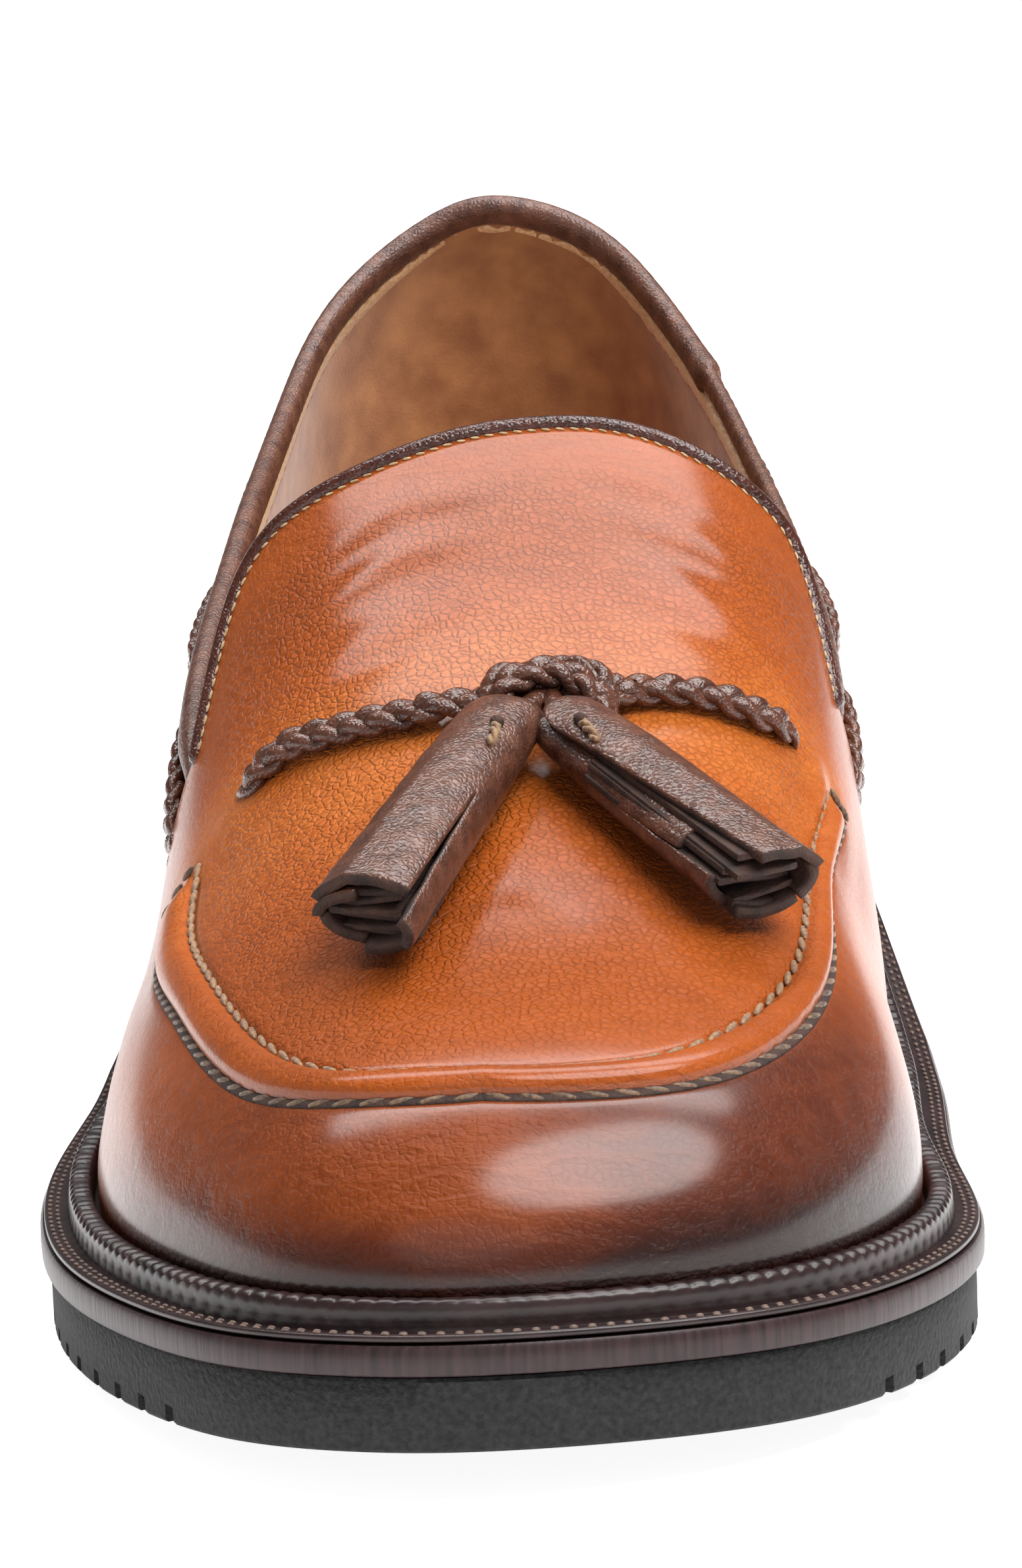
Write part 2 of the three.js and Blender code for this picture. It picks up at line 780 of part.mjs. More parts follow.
cone.setIndex( coneIndex );

// Round tubes along smooth curves
function tube( points, width, steps, sides = tubeSides ) {

	const section = new THREE.Shape( Array.from( { length: sides }, ( _, i ) => {

		const angle = 2 * Math.PI * ( i + 0.5 ) / sides;
		return new THREE.Vector2( Math.cos( angle ), Math.sin( angle ) ).multiplyScalar( width / 2 );

	} ) );
	return new THREE.ExtrudeGeometry( section, { steps, extrudePath: new THREE.CatmullRomCurve3( points ) } );

}

function trimPath( edges, width ) {

	return edges.map( ( edge ) => edge.point.clone().addScaledVector( edge.down, width / 2 )
		.addScaledVector( edge.normal, - wall / 2 ) );

}

// Collar binding round the quarters and piping over the tongue
const quarterCount = quarterInner.length;
const tongueCount = tongueInner.length + tongueOuter.length;
const bindingEdges = [ ...rim.slice( quarterCount + tongueCount ), ...rim.slice( 0, quarterCount ) ];
const bindingTube = ( width ) => weld( tube( trimPath( bindingEdges, bindingWidth ), width, 42 ) );
addNode( 'collar_binding', bindingTube( bindingWidth ), brownLeather );
const pipingEdges = rim.slice( quarterCount, quarterCount + tongueCount );
const pipingTube = ( width ) => weld( tube( trimPath( pipingEdges, pipingWidth ), width, 26, 6 ) );
addNode( 'tongue_piping', pipingTube( pipingWidth ), brownLeather );

// The upper's edge is hollowed to seat its binding and piping
const seats = [ bindingTube( bindingWidth + 2 * seatGap ), pipingTube( pipingWidth + 2 * seatGap ) ];
const upper = [ toSolid( cone ), ...seats.map( toSolid ) ].reduce(
	( solid, cut ) => solid.subtract( cut ), outerForm.subtract( cavity ) );
addNode( 'upper', toGeometry( upper ), tanLeather );

// Lace bars from their slits to the knot, on the last: row, share up, and lift of the centre line
const laceLift = laceWidth / 2 + 2.5 * seatGap;

function onPath( side, places, lift ) {

	return places.map( ( [ row, up ] ) => offLast( side * row * halfTurns, up, lift ) );

}

const laceInner = [ [ 0.546, 0.561 ], [ 0.55, 0.632 ], [ 0.556, 0.692 ], [ 0.563, 0.765 ], [ 0.569, 0.836 ],
	[ 0.5715, 0.9 ] ];
const laceOuter = [ [ 0.571, 0.885 ], [ 0.565, 0.856 ], [ 0.562, 0.796 ], [ 0.559, 0.729 ], [ 0.557, 0.667 ],
	[ 0.552, 0.603 ], [ 0.549, 0.577 ] ];
addNode( 'lace_front_inner', weld( tube( onPath( 1, laceInner, laceLift ), laceWidth, 14 ) ), brownLeather );
addNode( 'lace_front_outer', weld( tube( onPath( - 1, laceOuter, laceLift ), laceWidth, 12 ) ), brownLeather );

// Lace along the quarters, below the collar, in and out of its slits
const sideLaces = [
	{ name: 'front', inner: [ [ 0.51, 0.262 ], [ 0.49, 0.262 ], [ 0.465, 0.258 ], [ 0.44, 0.25 ] ],
		outer: [ [ 0.508, 0.25 ], [ 0.49, 0.25 ], [ 0.465, 0.242 ], [ 0.44, 0.23 ] ] },
	{ name: 'middle', inner: [ [ 0.422, 0.242 ], [ 0.4, 0.233 ], [ 0.37, 0.222 ], [ 0.345, 0.217 ] ],
		outer: [ [ 0.422, 0.222 ], [ 0.4, 0.213 ], [ 0.37, 0.207 ], [ 0.345, 0.205 ] ] },
	{ name: 'back', inner: [ [ 0.315, 0.235 ], [ 0.28, 0.245 ], [ 0.245, 0.258 ], [ 0.21, 0.274 ] ],
		outer: [ [ 0.315, 0.23 ], [ 0.28, 0.238 ], [ 0.245, 0.25 ], [ 0.21, 0.266 ] ] },
];
for ( const stretch of sideLaces ) {

	for ( const side of [ 'inner', 'outer' ] ) {

		const path = onPath( side === 'inner' ? 1 : - 1, stretch[ side ], laceLift );
		addNode( `lace_side_${stretch.name}_${side}`, weld( tube( path, laceWidth, 7 ) ), brownLeather );

	}

}

// Knot: a lump of lace with slanted turns wound round it
const knotTube = laceWidth * 0.24;
const knotHeight = laceWidth * 0.8;
const knotRow = 0.573;
const knotTurns = 3;
const knotSlant = 0.4;
const knotCore = new THREE.SphereGeometry( 1, 12, 8 );
knotCore.scale( knotWidth / 2, knotHeight * 0.8, knotHeight * 0.7 );
const knotParts = [ knotCore ];
for ( let i = 0; i < knotTurns; i ++ ) {

	const ring = new THREE.TorusGeometry( knotHeight - knotTube, knotTube, 6, 12 );
	ring.rotateY( Math.PI / 2 );
	ring.rotateZ( knotSlant );
	ring.translate( ( i - ( knotTurns - 1 ) / 2 ) * knotWidth / ( knotTurns + 1 ), 0, 0 );
	knotParts.push( ring );

}

const knotGeometry = toGeometry( joined( knotParts ) );
const knotCentre = offLast( - knotRow * halfTurns, 0.985, knotHeight + seatGap );
const knotUp = lastNormal( - knotRow * halfTurns, 0.9 );
const knotTurn = new THREE.Quaternion().setFromUnitVectors( new THREE.Vector3( 0, 0, 1 ), knotUp );
knotGeometry.applyQuaternion( knotTurn );
knotGeometry.translate( knotCentre.x, knotCentre.y, knotCentre.z );
addNode( 'knot', weld( knotGeometry ), brownLeather );

// Tassels: a rolled barrel that widens to its end, with the cut strips of its skirt and core fused on
function tassel( from, to, up, roll ) {

	const axis = to.clone().sub( from ).normalize();
	const side = new THREE.Vector3().crossVectors( up, axis ).normalize();
	const lift = new THREE.Vector3().crossVectors( axis, side ).normalize();
	const frame = new THREE.Matrix4().makeBasis( side, lift, axis ).setPosition( from );
	const rings = [
		{ share: 0, wide: 0.42, tall: 0.42 },
		{ share: 0.05, wide: 0.66, tall: 0.6 },
		{ share: 0.2, wide: 0.86, tall: 0.78 },
		{ share: 0.45, wide: 1, tall: 0.84 },
		{ share: 0.72, wide: 1.1, tall: 0.84 },
	];
	const sides = 12;
	const barrel = rings.map( ( ring ) => Array.from( { length: sides }, ( _, i ) => {

		const angle = 2 * Math.PI * i / sides;
		return new THREE.Vector3( Math.cos( angle ) * ring.wide * tasselWidth / 2,
			Math.sin( angle ) * ring.tall * tasselWidth / 2, ring.share * tasselLength );

	} ) );
	const parts = [ ringsToGeometry( barrel ) ];
	const strips = 10;
	const flare = Math.atan( ( tasselFlare - tasselWidth * 1.1 ) / 2 / ( 0.4 * tasselLength ) );
	for ( let i = 0; i < strips; i ++ ) {

		const angle = 2 * Math.PI * ( i + roll ) / strips;
		const length = tasselLength * ( 0.5 + 0.05 * Math.sin( 3 * angle ) );
		const width = Math.PI * tasselWidth / strips * 1.02;
		const strip = new THREE.BoxGeometry( stripThickness, width, length );
		strip.translate( - stripThickness / 2, 0, length / 2 );
		strip.rotateY( flare );
		strip.translate( tasselWidth * 0.5, 0, tasselLength - length );
		strip.rotateZ( angle );
		strip.scale( 1, 0.84, 1 );
		parts.push( strip );

	}

	const coreStrips = 4;
	for ( let i = 0; i < coreStrips; i ++ ) {

		const length = tasselLength * 0.42;
		const core = new THREE.BoxGeometry( stripThickness, tasselWidth * 0.7, length );
		core.translate( ( i - ( coreStrips - 1 ) / 2 ) * 1.5 * stripThickness, 0,
			tasselLength * ( 0.98 - 0.01 * i ) - length / 2 );
		parts.push( core );

	}

	return toGeometry( joined( parts ) ).applyMatrix4( frame );

}

const tasselLift = tasselWidth * 0.42 + 4 * seatGap;
const tassels = [
	{ name: 'tassel_inner', side: 1, top: [ 0.603, 0.955 ], end: [ 0.745, 0.787 ], roll: 0.2 },
	{ name: 'tassel_outer', side: - 1, top: [ 0.605, 0.945 ], end: [ 0.685, 0.7 ], roll: 0.7 },
];
for ( const item of tassels ) {

	const [ topTurn, endTurn ] = [ item.top, item.end ].map( ( place ) => item.side * place[ 0 ] * halfTurns );
	const from = offLast( topTurn, item.top[ 1 ], tasselLift );
	const to = offLast( endTurn, item.end[ 1 ], tasselLift + 1 );
	const up = lastNormal( topTurn, item.top[ 1 ] ).add( lastNormal( endTurn, item.end[ 1 ] ) ).normalize();
	addNode( item.name, tassel( from, to, up, item.roll ), brownLeather );

}

// The origin is on the floor, under the middle of the sole's outline
shoe.updateMatrixWorld( true );
const outline = new THREE.Box3();
for ( const mesh of nodes ) outline.expandByObject( mesh );
const middle = outline.getCenter( new THREE.Vector3() );
shoe.position.set( - middle.x, - middle.y, 0 );

const tasselLoafer = new THREE.Group();
tasselLoafer.add( shoe );

export default tasselLoafer;
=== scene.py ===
import bpy
import bmesh
import math
import numpy as np
from mathutils import Matrix, Vector


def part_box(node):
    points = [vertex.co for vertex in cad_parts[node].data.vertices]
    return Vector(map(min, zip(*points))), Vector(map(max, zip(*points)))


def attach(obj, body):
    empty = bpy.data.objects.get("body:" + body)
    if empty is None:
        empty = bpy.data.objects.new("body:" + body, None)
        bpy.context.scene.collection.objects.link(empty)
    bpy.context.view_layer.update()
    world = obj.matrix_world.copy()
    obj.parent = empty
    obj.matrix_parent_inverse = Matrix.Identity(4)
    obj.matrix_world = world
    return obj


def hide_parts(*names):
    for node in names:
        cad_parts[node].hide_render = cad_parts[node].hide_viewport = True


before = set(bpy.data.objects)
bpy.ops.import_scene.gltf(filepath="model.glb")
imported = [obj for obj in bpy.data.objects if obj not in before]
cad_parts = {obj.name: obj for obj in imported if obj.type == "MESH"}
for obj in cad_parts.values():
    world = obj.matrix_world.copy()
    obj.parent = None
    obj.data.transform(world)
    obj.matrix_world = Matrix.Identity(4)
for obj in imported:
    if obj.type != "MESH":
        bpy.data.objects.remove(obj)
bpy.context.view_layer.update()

# Sizes of the last and the bottom, in mm, as in the part's source
last = dict(length=284.0, ballWidth=93.5, instepHeight=76.8, collarHeight=76.6, toeSpring=5.8,
            spineStart=0.1, spineEnd=0.86, halfTurns=13)
bottom = dict(heelRise=17.9, heelLength=76.0, outsole=8.0, midsole=3.6, flange=0.7, margin=7.05,
              outsoleInset=1.0, heelTaper=1.5, insole=3.0, insoleInset=0.6, gap=0.3, ballStart=0.6,
              ballEnd=0.7)
trim = dict(wall=1.8, roll=1.6, binding=4.8, piping=2.2, lace=4.2, apronStart=0.548, apronFade=0.02)

# Feather line: along, inner and outer shares of the ball width
featherTable = [
    (0, 0, 0), (0.018, 0.154, 0.199), (0.07, 0.277, 0.307), (0.15, 0.332, 0.373), (0.25, 0.37, 0.413),
    (0.37, 0.411, 0.452), (0.5, 0.463, 0.475), (0.62, 0.504, 0.48), (0.72, 0.53, 0.467), (0.82, 0.499, 0.47),
    (0.9, 0.414, 0.403), (0.96, 0.307, 0.276), (0.99, 0.189, 0.113), (1, 0.062, -0.062),
]
# Spine: along, height over the feather line in mm, shift outwards in shares of the ball width
collar, instep = last["collarHeight"], last["instepHeight"]
spineTable = [
    (0.1, 1.089 * collar, 0.056), (0.22, 1.057 * collar, 0.057), (0.34, 1.017 * collar, 0.057),
    (0.46, instep, 0.05), (0.56, 0.871 * instep, 0.047), (0.66, 0.674 * instep, 0.042),
    (0.76, 0.536 * instep, 0.011), (0.86, 0.379 * instep, -0.032),
]
# Sections: along, inner low, outer low, inner high, outer high, bulge in mm
sectionTable = [
    (0, 0.839, 0.839, 0.716, 0.716, 3.4), (0.15, 0.805, 0.827, 0.76, 0.774, 2.6),
    (0.3, 0.77, 0.798, 0.806, 0.826, 1.8), (0.45, 0.687, 0.757, 0.807, 0.851, 1.7),
    (0.6, 0.49, 0.662, 0.634, 0.768, 1.5), (0.8, 0.47, 0.65, 0.561, 0.709, 2.4),
    (1, 0.583, 0.583, 0.587, 0.587, 3.1),
]
# Top line of the quarters: along, inner and outer share of the collar height
topTable = [(0, 1, 1), (0.1, 0.778, 0.778), (0.22, 0.62, 0.62), (0.34, 0.535, 0.535), (0.44, 0.525, 0.535),
            (0.55, 0.505, 0.535)]
# Edge of the tongue: share up the row and row, for the inner and the outer side
tongueTable = {
    1: [(0.375, 0.489), (0.425, 0.475), (0.478, 0.463), (0.54, 0.457), (0.63, 0.457), (0.75, 0.46),
        (0.86, 0.46), (0.94, 0.4585), (1, 0.4578)],
    -1: [(0.36, 0.487), (0.398, 0.473), (0.445, 0.462), (0.51, 0.457), (0.6, 0.458), (0.71, 0.459),
         (0.81, 0.458), (0.9, 0.457), (1, 0.4578)],
}
# Apron roll: row, then its outer seam and inner edge up the outer side, and the same up the inner side
apronTable = [
    (0, 0.38, 0.44, 0.33, 0.43), (0.54, 0.38, 0.44, 0.33, 0.43), (0.6, 0.455, 0.503, 0.36, 0.445),
    (0.66, 0.488, 0.547, 0.425, 0.503), (0.72, 0.502, 0.574, 0.455, 0.543), (0.78, 0.506, 0.59, 0.467, 0.56),
    (0.85, 0.519, 0.602, 0.513, 0.592), (0.92, 0.541, 0.618, 0.547, 0.625), (1, 0.565, 0.637, 0.565, 0.637),
]


def smoothCurve(xs, ys):  # the same natural curve that the part's source draws through a table
    x, y = np.array(xs, float), np.array(ys, float)
    slope = np.zeros(len(x))
    step = np.diff(x)
    rise = np.diff(y)
    for _ in range(60):
        slope[0] = (3 * rise[0] / step[0] - slope[1]) / 2
        for i in range(1, len(x) - 1):
            pull = 3 * rise[i - 1] / step[i - 1] ** 2 + 3 * rise[i] / step[i] ** 2
            known = slope[i - 1] / step[i - 1] + slope[i + 1] / step[i]
            slope[i] = (pull - known) / (2 / step[i - 1] + 2 / step[i])
        slope[-1] = (3 * rise[-1] / step[-1] - slope[-2]) / 2

    def at(value):
        value = np.clip(value, x[0], x[-1])
        i = np.clip(np.searchsorted(x, value, side="right") - 1, 0, len(x) - 2)
        return hermite((value - x[i]) / step[i], y[i], y[i + 1], slope[i] * step[i], slope[i + 1] * step[i])
    return at


def hermite(t, start, end, slopeStart, slopeEnd):
    t2, t3 = t * t, t * t * t
    return ((2 * t3 - 3 * t2 + 1) * start + (t3 - 2 * t2 + t) * slopeStart
            + (3 * t2 - 2 * t3) * end + (t3 - t2) * slopeEnd)


def tableCurve(table, column):
    return smoothCurve([row[0] for row in table], [row[column] for row in table])


def smoothStep(t):
    t = np.clip(t, 0, 1)
    return t * t * (3 - 2 * t)


def unit(vectors):
    return vectors / np.maximum(np.linalg.norm(vectors, axis=-1, keepdims=True), 1e-9)


def raised(flat, height):  # points of the plan, each at its height
    return np.concatenate([flat, height[..., None]], axis=-1)


halfTurns = last["halfTurns"]
featherPoints = np.array(
    [(-inner * last["ballWidth"], (0.5 - along) * last["length"]) for along, inner, outer in featherTable]
    + [(outer * last["ballWidth"], (0.5 - along) * last["length"])
       for along, inner, outer in featherTable[-2:0:-1]])
featherCount = len(featherPoints)
featherSlopes = np.zeros_like(featherPoints)
for _ in range(60):
    for i in range(featherCount):
        before, after = (i - 1) % featherCount, (i + 1) % featherCount
        pull = 3 * (featherPoints[after] - featherPoints[before])
        featherSlopes[i] = (pull - featherSlopes[before] - featherSlopes[after]) / 4


def featherAt(turn):
    wrapped = np.mod(np.asarray(turn, float), featherCount)
    i = np.floor(wrapped).astype(int) % featherCount
    after = (i + 1) % featherCount
    t = (wrapped - np.floor(wrapped))[..., None]
    return hermite(t, featherPoints[i], featherPoints[after], featherSlopes[i], featherSlopes[after])


def featherNormal(turn):
    run = unit(featherAt(np.asarray(turn) + 0.01) - featherAt(np.asarray(turn) - 0.01))
    return np.stack([run[..., 1], -run[..., 0]], axis=-1)


def offsetFeather(turn, offset):
    return featherAt(turn) + featherNormal(turn) * np.asarray(offset, float)[..., None]


def alongOf(y):
    return 0.5 - y / last["length"]


heelEnd = bottom["heelLength"] / last["length"]


def groundAt(y):
    along = alongOf(y)
    toe = np.maximum(0, (along - bottom["ballEnd"]) / (1 - bottom["ballEnd"]))
    heel = smoothStep((bottom["ballStart"] - along) / (bottom["ballStart"] - heelEnd))
    return last["toeSpring"] * toe ** 2 + bottom["heelRise"] * heel


def edgeMargin(turn):
    share = np.clip((alongOf(featherAt(turn)[..., 1]) - 0.3) / 0.25, 0, 1)
    return bottom["margin"] * (0.55 + 0.45 * share)


midsoleTop = bottom["outsole"] + bottom["midsole"]
flangeTop = midsoleTop + bottom["gap"] + bottom["flange"]
featherHeight = flangeTop + bottom["gap"]
spineHeight, spineShift = tableCurve(spineTable, 1), tableCurve(spineTable, 2)
bulgeCurve = tableCurve(sectionTable, 5)
lowCurve = {1: tableCurve(sectionTable, 1), -1: tableCurve(sectionTable, 2)}
highCurve = {1: tableCurve(sectionTable, 3), -1: tableCurve(sectionTable, 4)}
topCurve = {1: tableCurve(topTable, 1), -1: tableCurve(topTable, 2)}
seamCurve = {1: tableCurve(apronTable, 3), -1: tableCurve(apronTable, 1)}
rollCurve = {1: tableCurve(apronTable, 4), -1: tableCurve(apronTable, 2)}
tongueCurve = {side: tableCurve(tongueTable[side], 1) for side in (1, -1)}


def lastRow(turn):
    turn = np.asarray(turn, float)
    point, facing = featherAt(turn), featherAt(-turn)
    inner = np.mod(turn, featherCount) <= halfTurns
    middle = (0.5 - (last["spineStart"] + last["spineEnd"]) / 2) * last["length"]
    reach = (last["spineEnd"] - last["spineStart"]) / 2 * last["length"]
    share = ((point[..., 1] + facing[..., 1]) / 2 - middle) / reach
    crestY = middle + reach * share / (1 + share ** 6) ** (1 / 6)
    crestAlong = alongOf(crestY)
    crest = np.stack([spineShift(crestAlong) * last["ballWidth"], crestY], axis=-1)
    base = groundAt(point[..., 1]) + featherHeight
    top = groundAt(crestY) + featherHeight + spineHeight(crestAlong)
    along = alongOf(point[..., 1])
    inwards = crest - point
    depth = np.linalg.norm(inwards, axis=-1)

    def pick(curves):
        return np.where(inner, curves[1](along), curves[-1](along))
    return dict(point=point, inwards=inwards / depth[..., None], depth=depth, base=base, rise=top - base,
                low=pick(lowCurve), high=pick(highCurve), bulge=bulgeCurve(along),
                top=pick(topCurve) * last["collarHeight"])


def profileRise(row, up):
    down = 1 - up
    return row["rise"] * (3 * up * down * down * row["low"] + 3 * up * up * down + up ** 3)


def onLast(turn, up):
    turn, up = np.broadcast_arrays(np.asarray(turn, float), np.asarray(up, float))
    row = lastRow(turn)
    down = 1 - up
    inwards = (-3 * up * down * down * row["bulge"] + 3 * up * up * down * row["depth"] * (1 - row["high"])
               + up ** 3 * row["depth"])
    flat = row["point"] + row["inwards"] * inwards[..., None]
    return raised(flat, row["base"] + profileRise(row, up))


def lastNormal(turn, up):
    step = 0.004
    height = np.minimum(up, 0.97)
    roundWay = onLast(np.asarray(turn) + step, height) - onLast(np.asarray(turn) - step, height)
    upWay = onLast(turn, height + step) - onLast(turn, height - step)
    return unit(np.cross(roundWay, upWay))


def offLast(turn, up, lift):
    return onLast(turn, up) + lastNormal(turn, up) * np.asarray(lift, float)[..., None]


def onLastRow(side, rows, ups, lift):  # places and normals by side, row and share up
    return offLast(side * rows * halfTurns, ups, lift), lastNormal(side * rows * halfTurns, ups)


def upAtHeight(turn, height):
    row = lastRow(turn)
    low, high = np.zeros_like(row["rise"]), np.ones_like(row["rise"])
    for _ in range(30):
        middle = (low + high) / 2
        under = profileRise(row, middle) < height
        low, high = np.where(under, middle, low), np.where(under, high, middle)
    return low


# The solids stand with the middle of the midsole's outline over the origin
cadTurns = np.linspace(0, halfTurns, 39)
outline = np.concatenate([offsetFeather(turns, edgeMargin(turns)) for turns in (cadTurns, -cadTurns)])
low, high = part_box("midsole")
frameShift = np.array([(low[i] + high[i]) * 500 - (outline[:, i].min() + outline[:, i].max()) / 2
                       for i in (0, 1)] + [0])
print("last drawn, frame shift", frameShift)


def inMetres(points):
    return (np.asarray(points) + frameShift) / 1000


def addGrid(bm, points, tones=None):  # a bmesh grid whose vertices go to a field of points in mm
    rows, columns = points.shape[:2]
    tones = tones or {}
    for name in tones:
        if bm.verts.layers.float.get(name) is None:
            bm.verts.layers.float.new(name)
    made = bmesh.ops.create_grid(bm, x_segments=columns - 1, y_segments=rows - 1, size=1)["verts"]
    for vert, place in zip(made, inMetres(points).reshape(-1, 3)):
        vert.co = place
    for name, values in tones.items():
        layer = bm.verts.layers.float[name]
        for vert, value in zip(made, np.broadcast_to(values, (rows, columns)).reshape(-1)):
            vert[layer] = value


def finishPiece(name, bm, materials, replaced=(), sharp=None, merge=1e-5):
    bmesh.ops.remove_doubles(bm, verts=bm.verts, dist=merge)
    bmesh.ops.recalc_face_normals(bm, faces=bm.faces)
    for face in bm.faces:
        face.smooth = True
    if sharp:
        for edge in bm.edges:
            edge.smooth = not edge.is_manifold or edge.calc_face_angle() < math.radians(sharp)
    mesh = bpy.data.meshes.new(name)
    bm.to_mesh(mesh)
    bm.free()
    piece = bpy.data.objects.new(name, mesh)
    bpy.context.collection.objects.link(piece)
    for material in materials:
        mesh.materials.append(material)
    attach(piece, "root")
    if replaced:
        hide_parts(*replaced)
    return piece


def pathFrames(points, normals):  # tangent, side and lift along a path
    run = unit(np.gradient(points, axis=0))
    lift = unit(normals - run * np.sum(run * normals, axis=1, keepdims=True))
    return run, np.cross(run, lift), lift


def resample(points, count):
    points = np.asarray(points, float)
    length = np.concatenate([[0], np.cumsum(np.linalg.norm(np.diff(points[..., :3], axis=0), axis=1))])
    at = np.linspace(0, length[-1], count)
    return np.stack([np.interp(at, length, points[:, i]) for i in range(points.shape[1])], axis=1)


def pathLength(points):
    return float(np.linalg.norm(np.diff(points, axis=0), axis=1).sum())


def smoothPath(points, count):  # a natural curve through a few points, evenly spaced
    points = np.asarray(points, float)
    share = np.arange(len(points), dtype=float)
    curves = [smoothCurve(share, points[:, i]) for i in range(points.shape[1])]
    fine = np.stack([curve(np.linspace(0, len(points) - 1, 40 * len(points))) for curve in curves], axis=1)
    return resample(fine, count)


def tubeRings(points, normals, wide, tall, sides=12, power=2.0, ends=3):
    count = len(points)
    run, side, lift = pathFrames(points, normals)
    angle = np.linspace(0, 2 * np.pi, sides + 1)
    cosine, sine = np.cos(angle), np.sin(angle)
    across = np.sign(cosine) * np.abs(cosine) ** (2 / power)
    over = np.sign(sine) * np.abs(sine) ** (2 / power)
    wide = np.broadcast_to(np.asarray(wide, float), (count,)) / 2
    tall = np.broadcast_to(np.asarray(tall, float), (count,)) / 2
    rings = (points[:, None] + side[:, None] * (wide[:, None] * across)[..., None]
             + lift[:, None] * (tall[:, None] * over)[..., None])
    if not ends:
        return rings
    caps = []
    for end, way in ((0, -1), (-1, 1)):  # rounded ends that close on a point
        reach = run[end] * way * min(wide[end], tall[end])
        bends = np.linspace(0, 1, ends + 1)[1:] * math.pi / 2
        grown = [points[end] + (rings[end] - points[end]) * math.cos(bend) + reach * math.sin(bend)
                 for bend in bends]
        caps.append(grown[::-1] if way < 0 else grown)
    return np.concatenate([caps[0], rings, caps[1]])


def linear(code):
    parts = [int(code[i:i + 2], 16) / 255 for i in (1, 3, 5)]
    return [part / 12.92 if part <= 0.04045 else ((part + 0.055) / 1.055) ** 2.4 for part in parts] + [1]


def newMaterial(name, colour, **settings):
    material = bpy.data.materials.new(name)
    material.use_nodes = True
    shader = material.node_tree.nodes["Principled BSDF"]
    shader.inputs["Base Color"].default_value = linear(colour)
    for key, value in settings.items():
        shader.inputs[key.replace("_", " ")].default_value = value
    return material, shader


def addNode(material, kind, settings=None, **inputs):  # one node; a tuple (node, socket) is a link
    node = material.node_tree.nodes.new(kind)
    for key, value in (settings or {}).items():
        setattr(node, key, value)
    for key, value in inputs.items():
        socket = node.inputs[int(key[1:])] if key[0] == "i" and key[1:].isdigit() else \
            node.inputs[key.replace("_", " ")]
        if isinstance(value, tuple) and isinstance(value[0], bpy.types.Node):
            material.node_tree.links.new(value[0].outputs[value[1]], socket)
        else:
            socket.default_value = value
    return node


def feed(material, node, output, target, socket):
    material.node_tree.links.new(node.outputs[output], target.inputs[socket])


def rampStops(node, stops):
    elements = node.color_ramp.elements
    while len(elements) < len(stops):
        elements.new(0.5)
    for element, (place, colour) in zip(elements, stops):
        element.position = place
        element.color = linear(colour)


def addMath(material, operation, *values, clamp=False):
    return addNode(material, "ShaderNodeMath", dict(operation=operation, use_clamp=clamp),
                   **{f"i{place}": value for place, value in enumerate(values)}), 0


def addNoise(material, where, scale, detail):
    return addNode(material, "ShaderNodeTexNoise", Vector=where, Scale=scale, Detail=detail), "Fac"


def addShade(material, shader, factor, stops):
    tone = addNode(material, "ShaderNodeValToRGB", Fac=factor)
    rampStops(tone, stops)
    feed(material, tone, "Color", shader, "Base Color")


def addBump(material, shader, height, strength, distance):
    bump = addNode(material, "ShaderNodeBump", Strength=strength, Distance=distance, Height=height)
    feed(material, bump, "Normal", shader, "Normal")


def addCells(material, where, scale):
    return addNode(material, "ShaderNodeTexVoronoi", dict(feature="DISTANCE_TO_EDGE"), Vector=where,
                   Scale=scale), "Distance"


def calfLeather():
    # Full-grain calf, drum-dyed tan, burnished at the toe and glazed: a clear gloss over a shaded brown
    material, shader = newMaterial("glazedTanCalf", "#a85a26", Roughness=0.45, IOR=1.4, Coat_Weight=0.55,
                                   Specular_IOR_Level=0.15, Coat_Roughness=0.19, Coat_IOR=1.5)
    where = addNode(material, "ShaderNodeTexCoord"), "Object"
    burnish, grainShare = [(addNode(material, "ShaderNodeAttribute", dict(attribute_name=name)), "Fac")
                           for name in ("burnish", "grain")]
    across = addNode(material, "ShaderNodeMapping", Vector=where, Scale=(0.3, 1, 1))
    veins = addNode(material, "ShaderNodeTexNoise", dict(noise_type="RIDGED_MULTIFRACTAL"),
                    Vector=(across, 0), Scale=330, Detail=6, Roughness=0.62, Lacunarity=2.3, Offset=0.9,
                    Gain=1.6, Distortion=0.5), "Fac"
    mottle = addMath(material, "MULTIPLY_ADD", addNoise(material, where, 38, 4), 0.3, -0.15)
    # Painted highlight: the veins are painted a little lighter, as if their ridges catch the light
    veinHighlight = addMath(material, "MULTIPLY_ADD", veins, -0.05, 0.03)
    shade = addMath(material, "ADD", mottle, veinHighlight)
    addShade(material, shader, addMath(material, "ADD", burnish, shade, clamp=True),
             [(0, "#bf6c2b"), (0.26, "#9b4911"), (0.48, "#7a360c"), (0.72, "#4e1e09"), (1, "#230c07")])
    gloss = addNode(material, "ShaderNodeMapRange", Value=burnish, From_Min=0.22, From_Max=0.62, To_Min=0.36,
                    To_Max=0.62)
    feed(material, gloss, 0, shader, "Coat Weight")
    # pebbled break grain in cells of 1.1 mm, drawn-out veins 3 mm apart and hair pores of 0.6 mm
    cellLine = addNode(material, "ShaderNodeMapRange", Value=addCells(material, where, 950), From_Max=0.2,
                       To_Max=1.7)
    pebbles = addMath(material, "MULTIPLY", (cellLine, 0), grainShare)
    relief = addMath(material, "MULTIPLY_ADD", addNoise(material, where, 1800, 3), 0.9, pebbles)
    relief = addMath(material, "MULTIPLY_ADD", veins, 0.9, relief)
    addBump(material, shader, relief, 0.7, 0.00026)
    return material


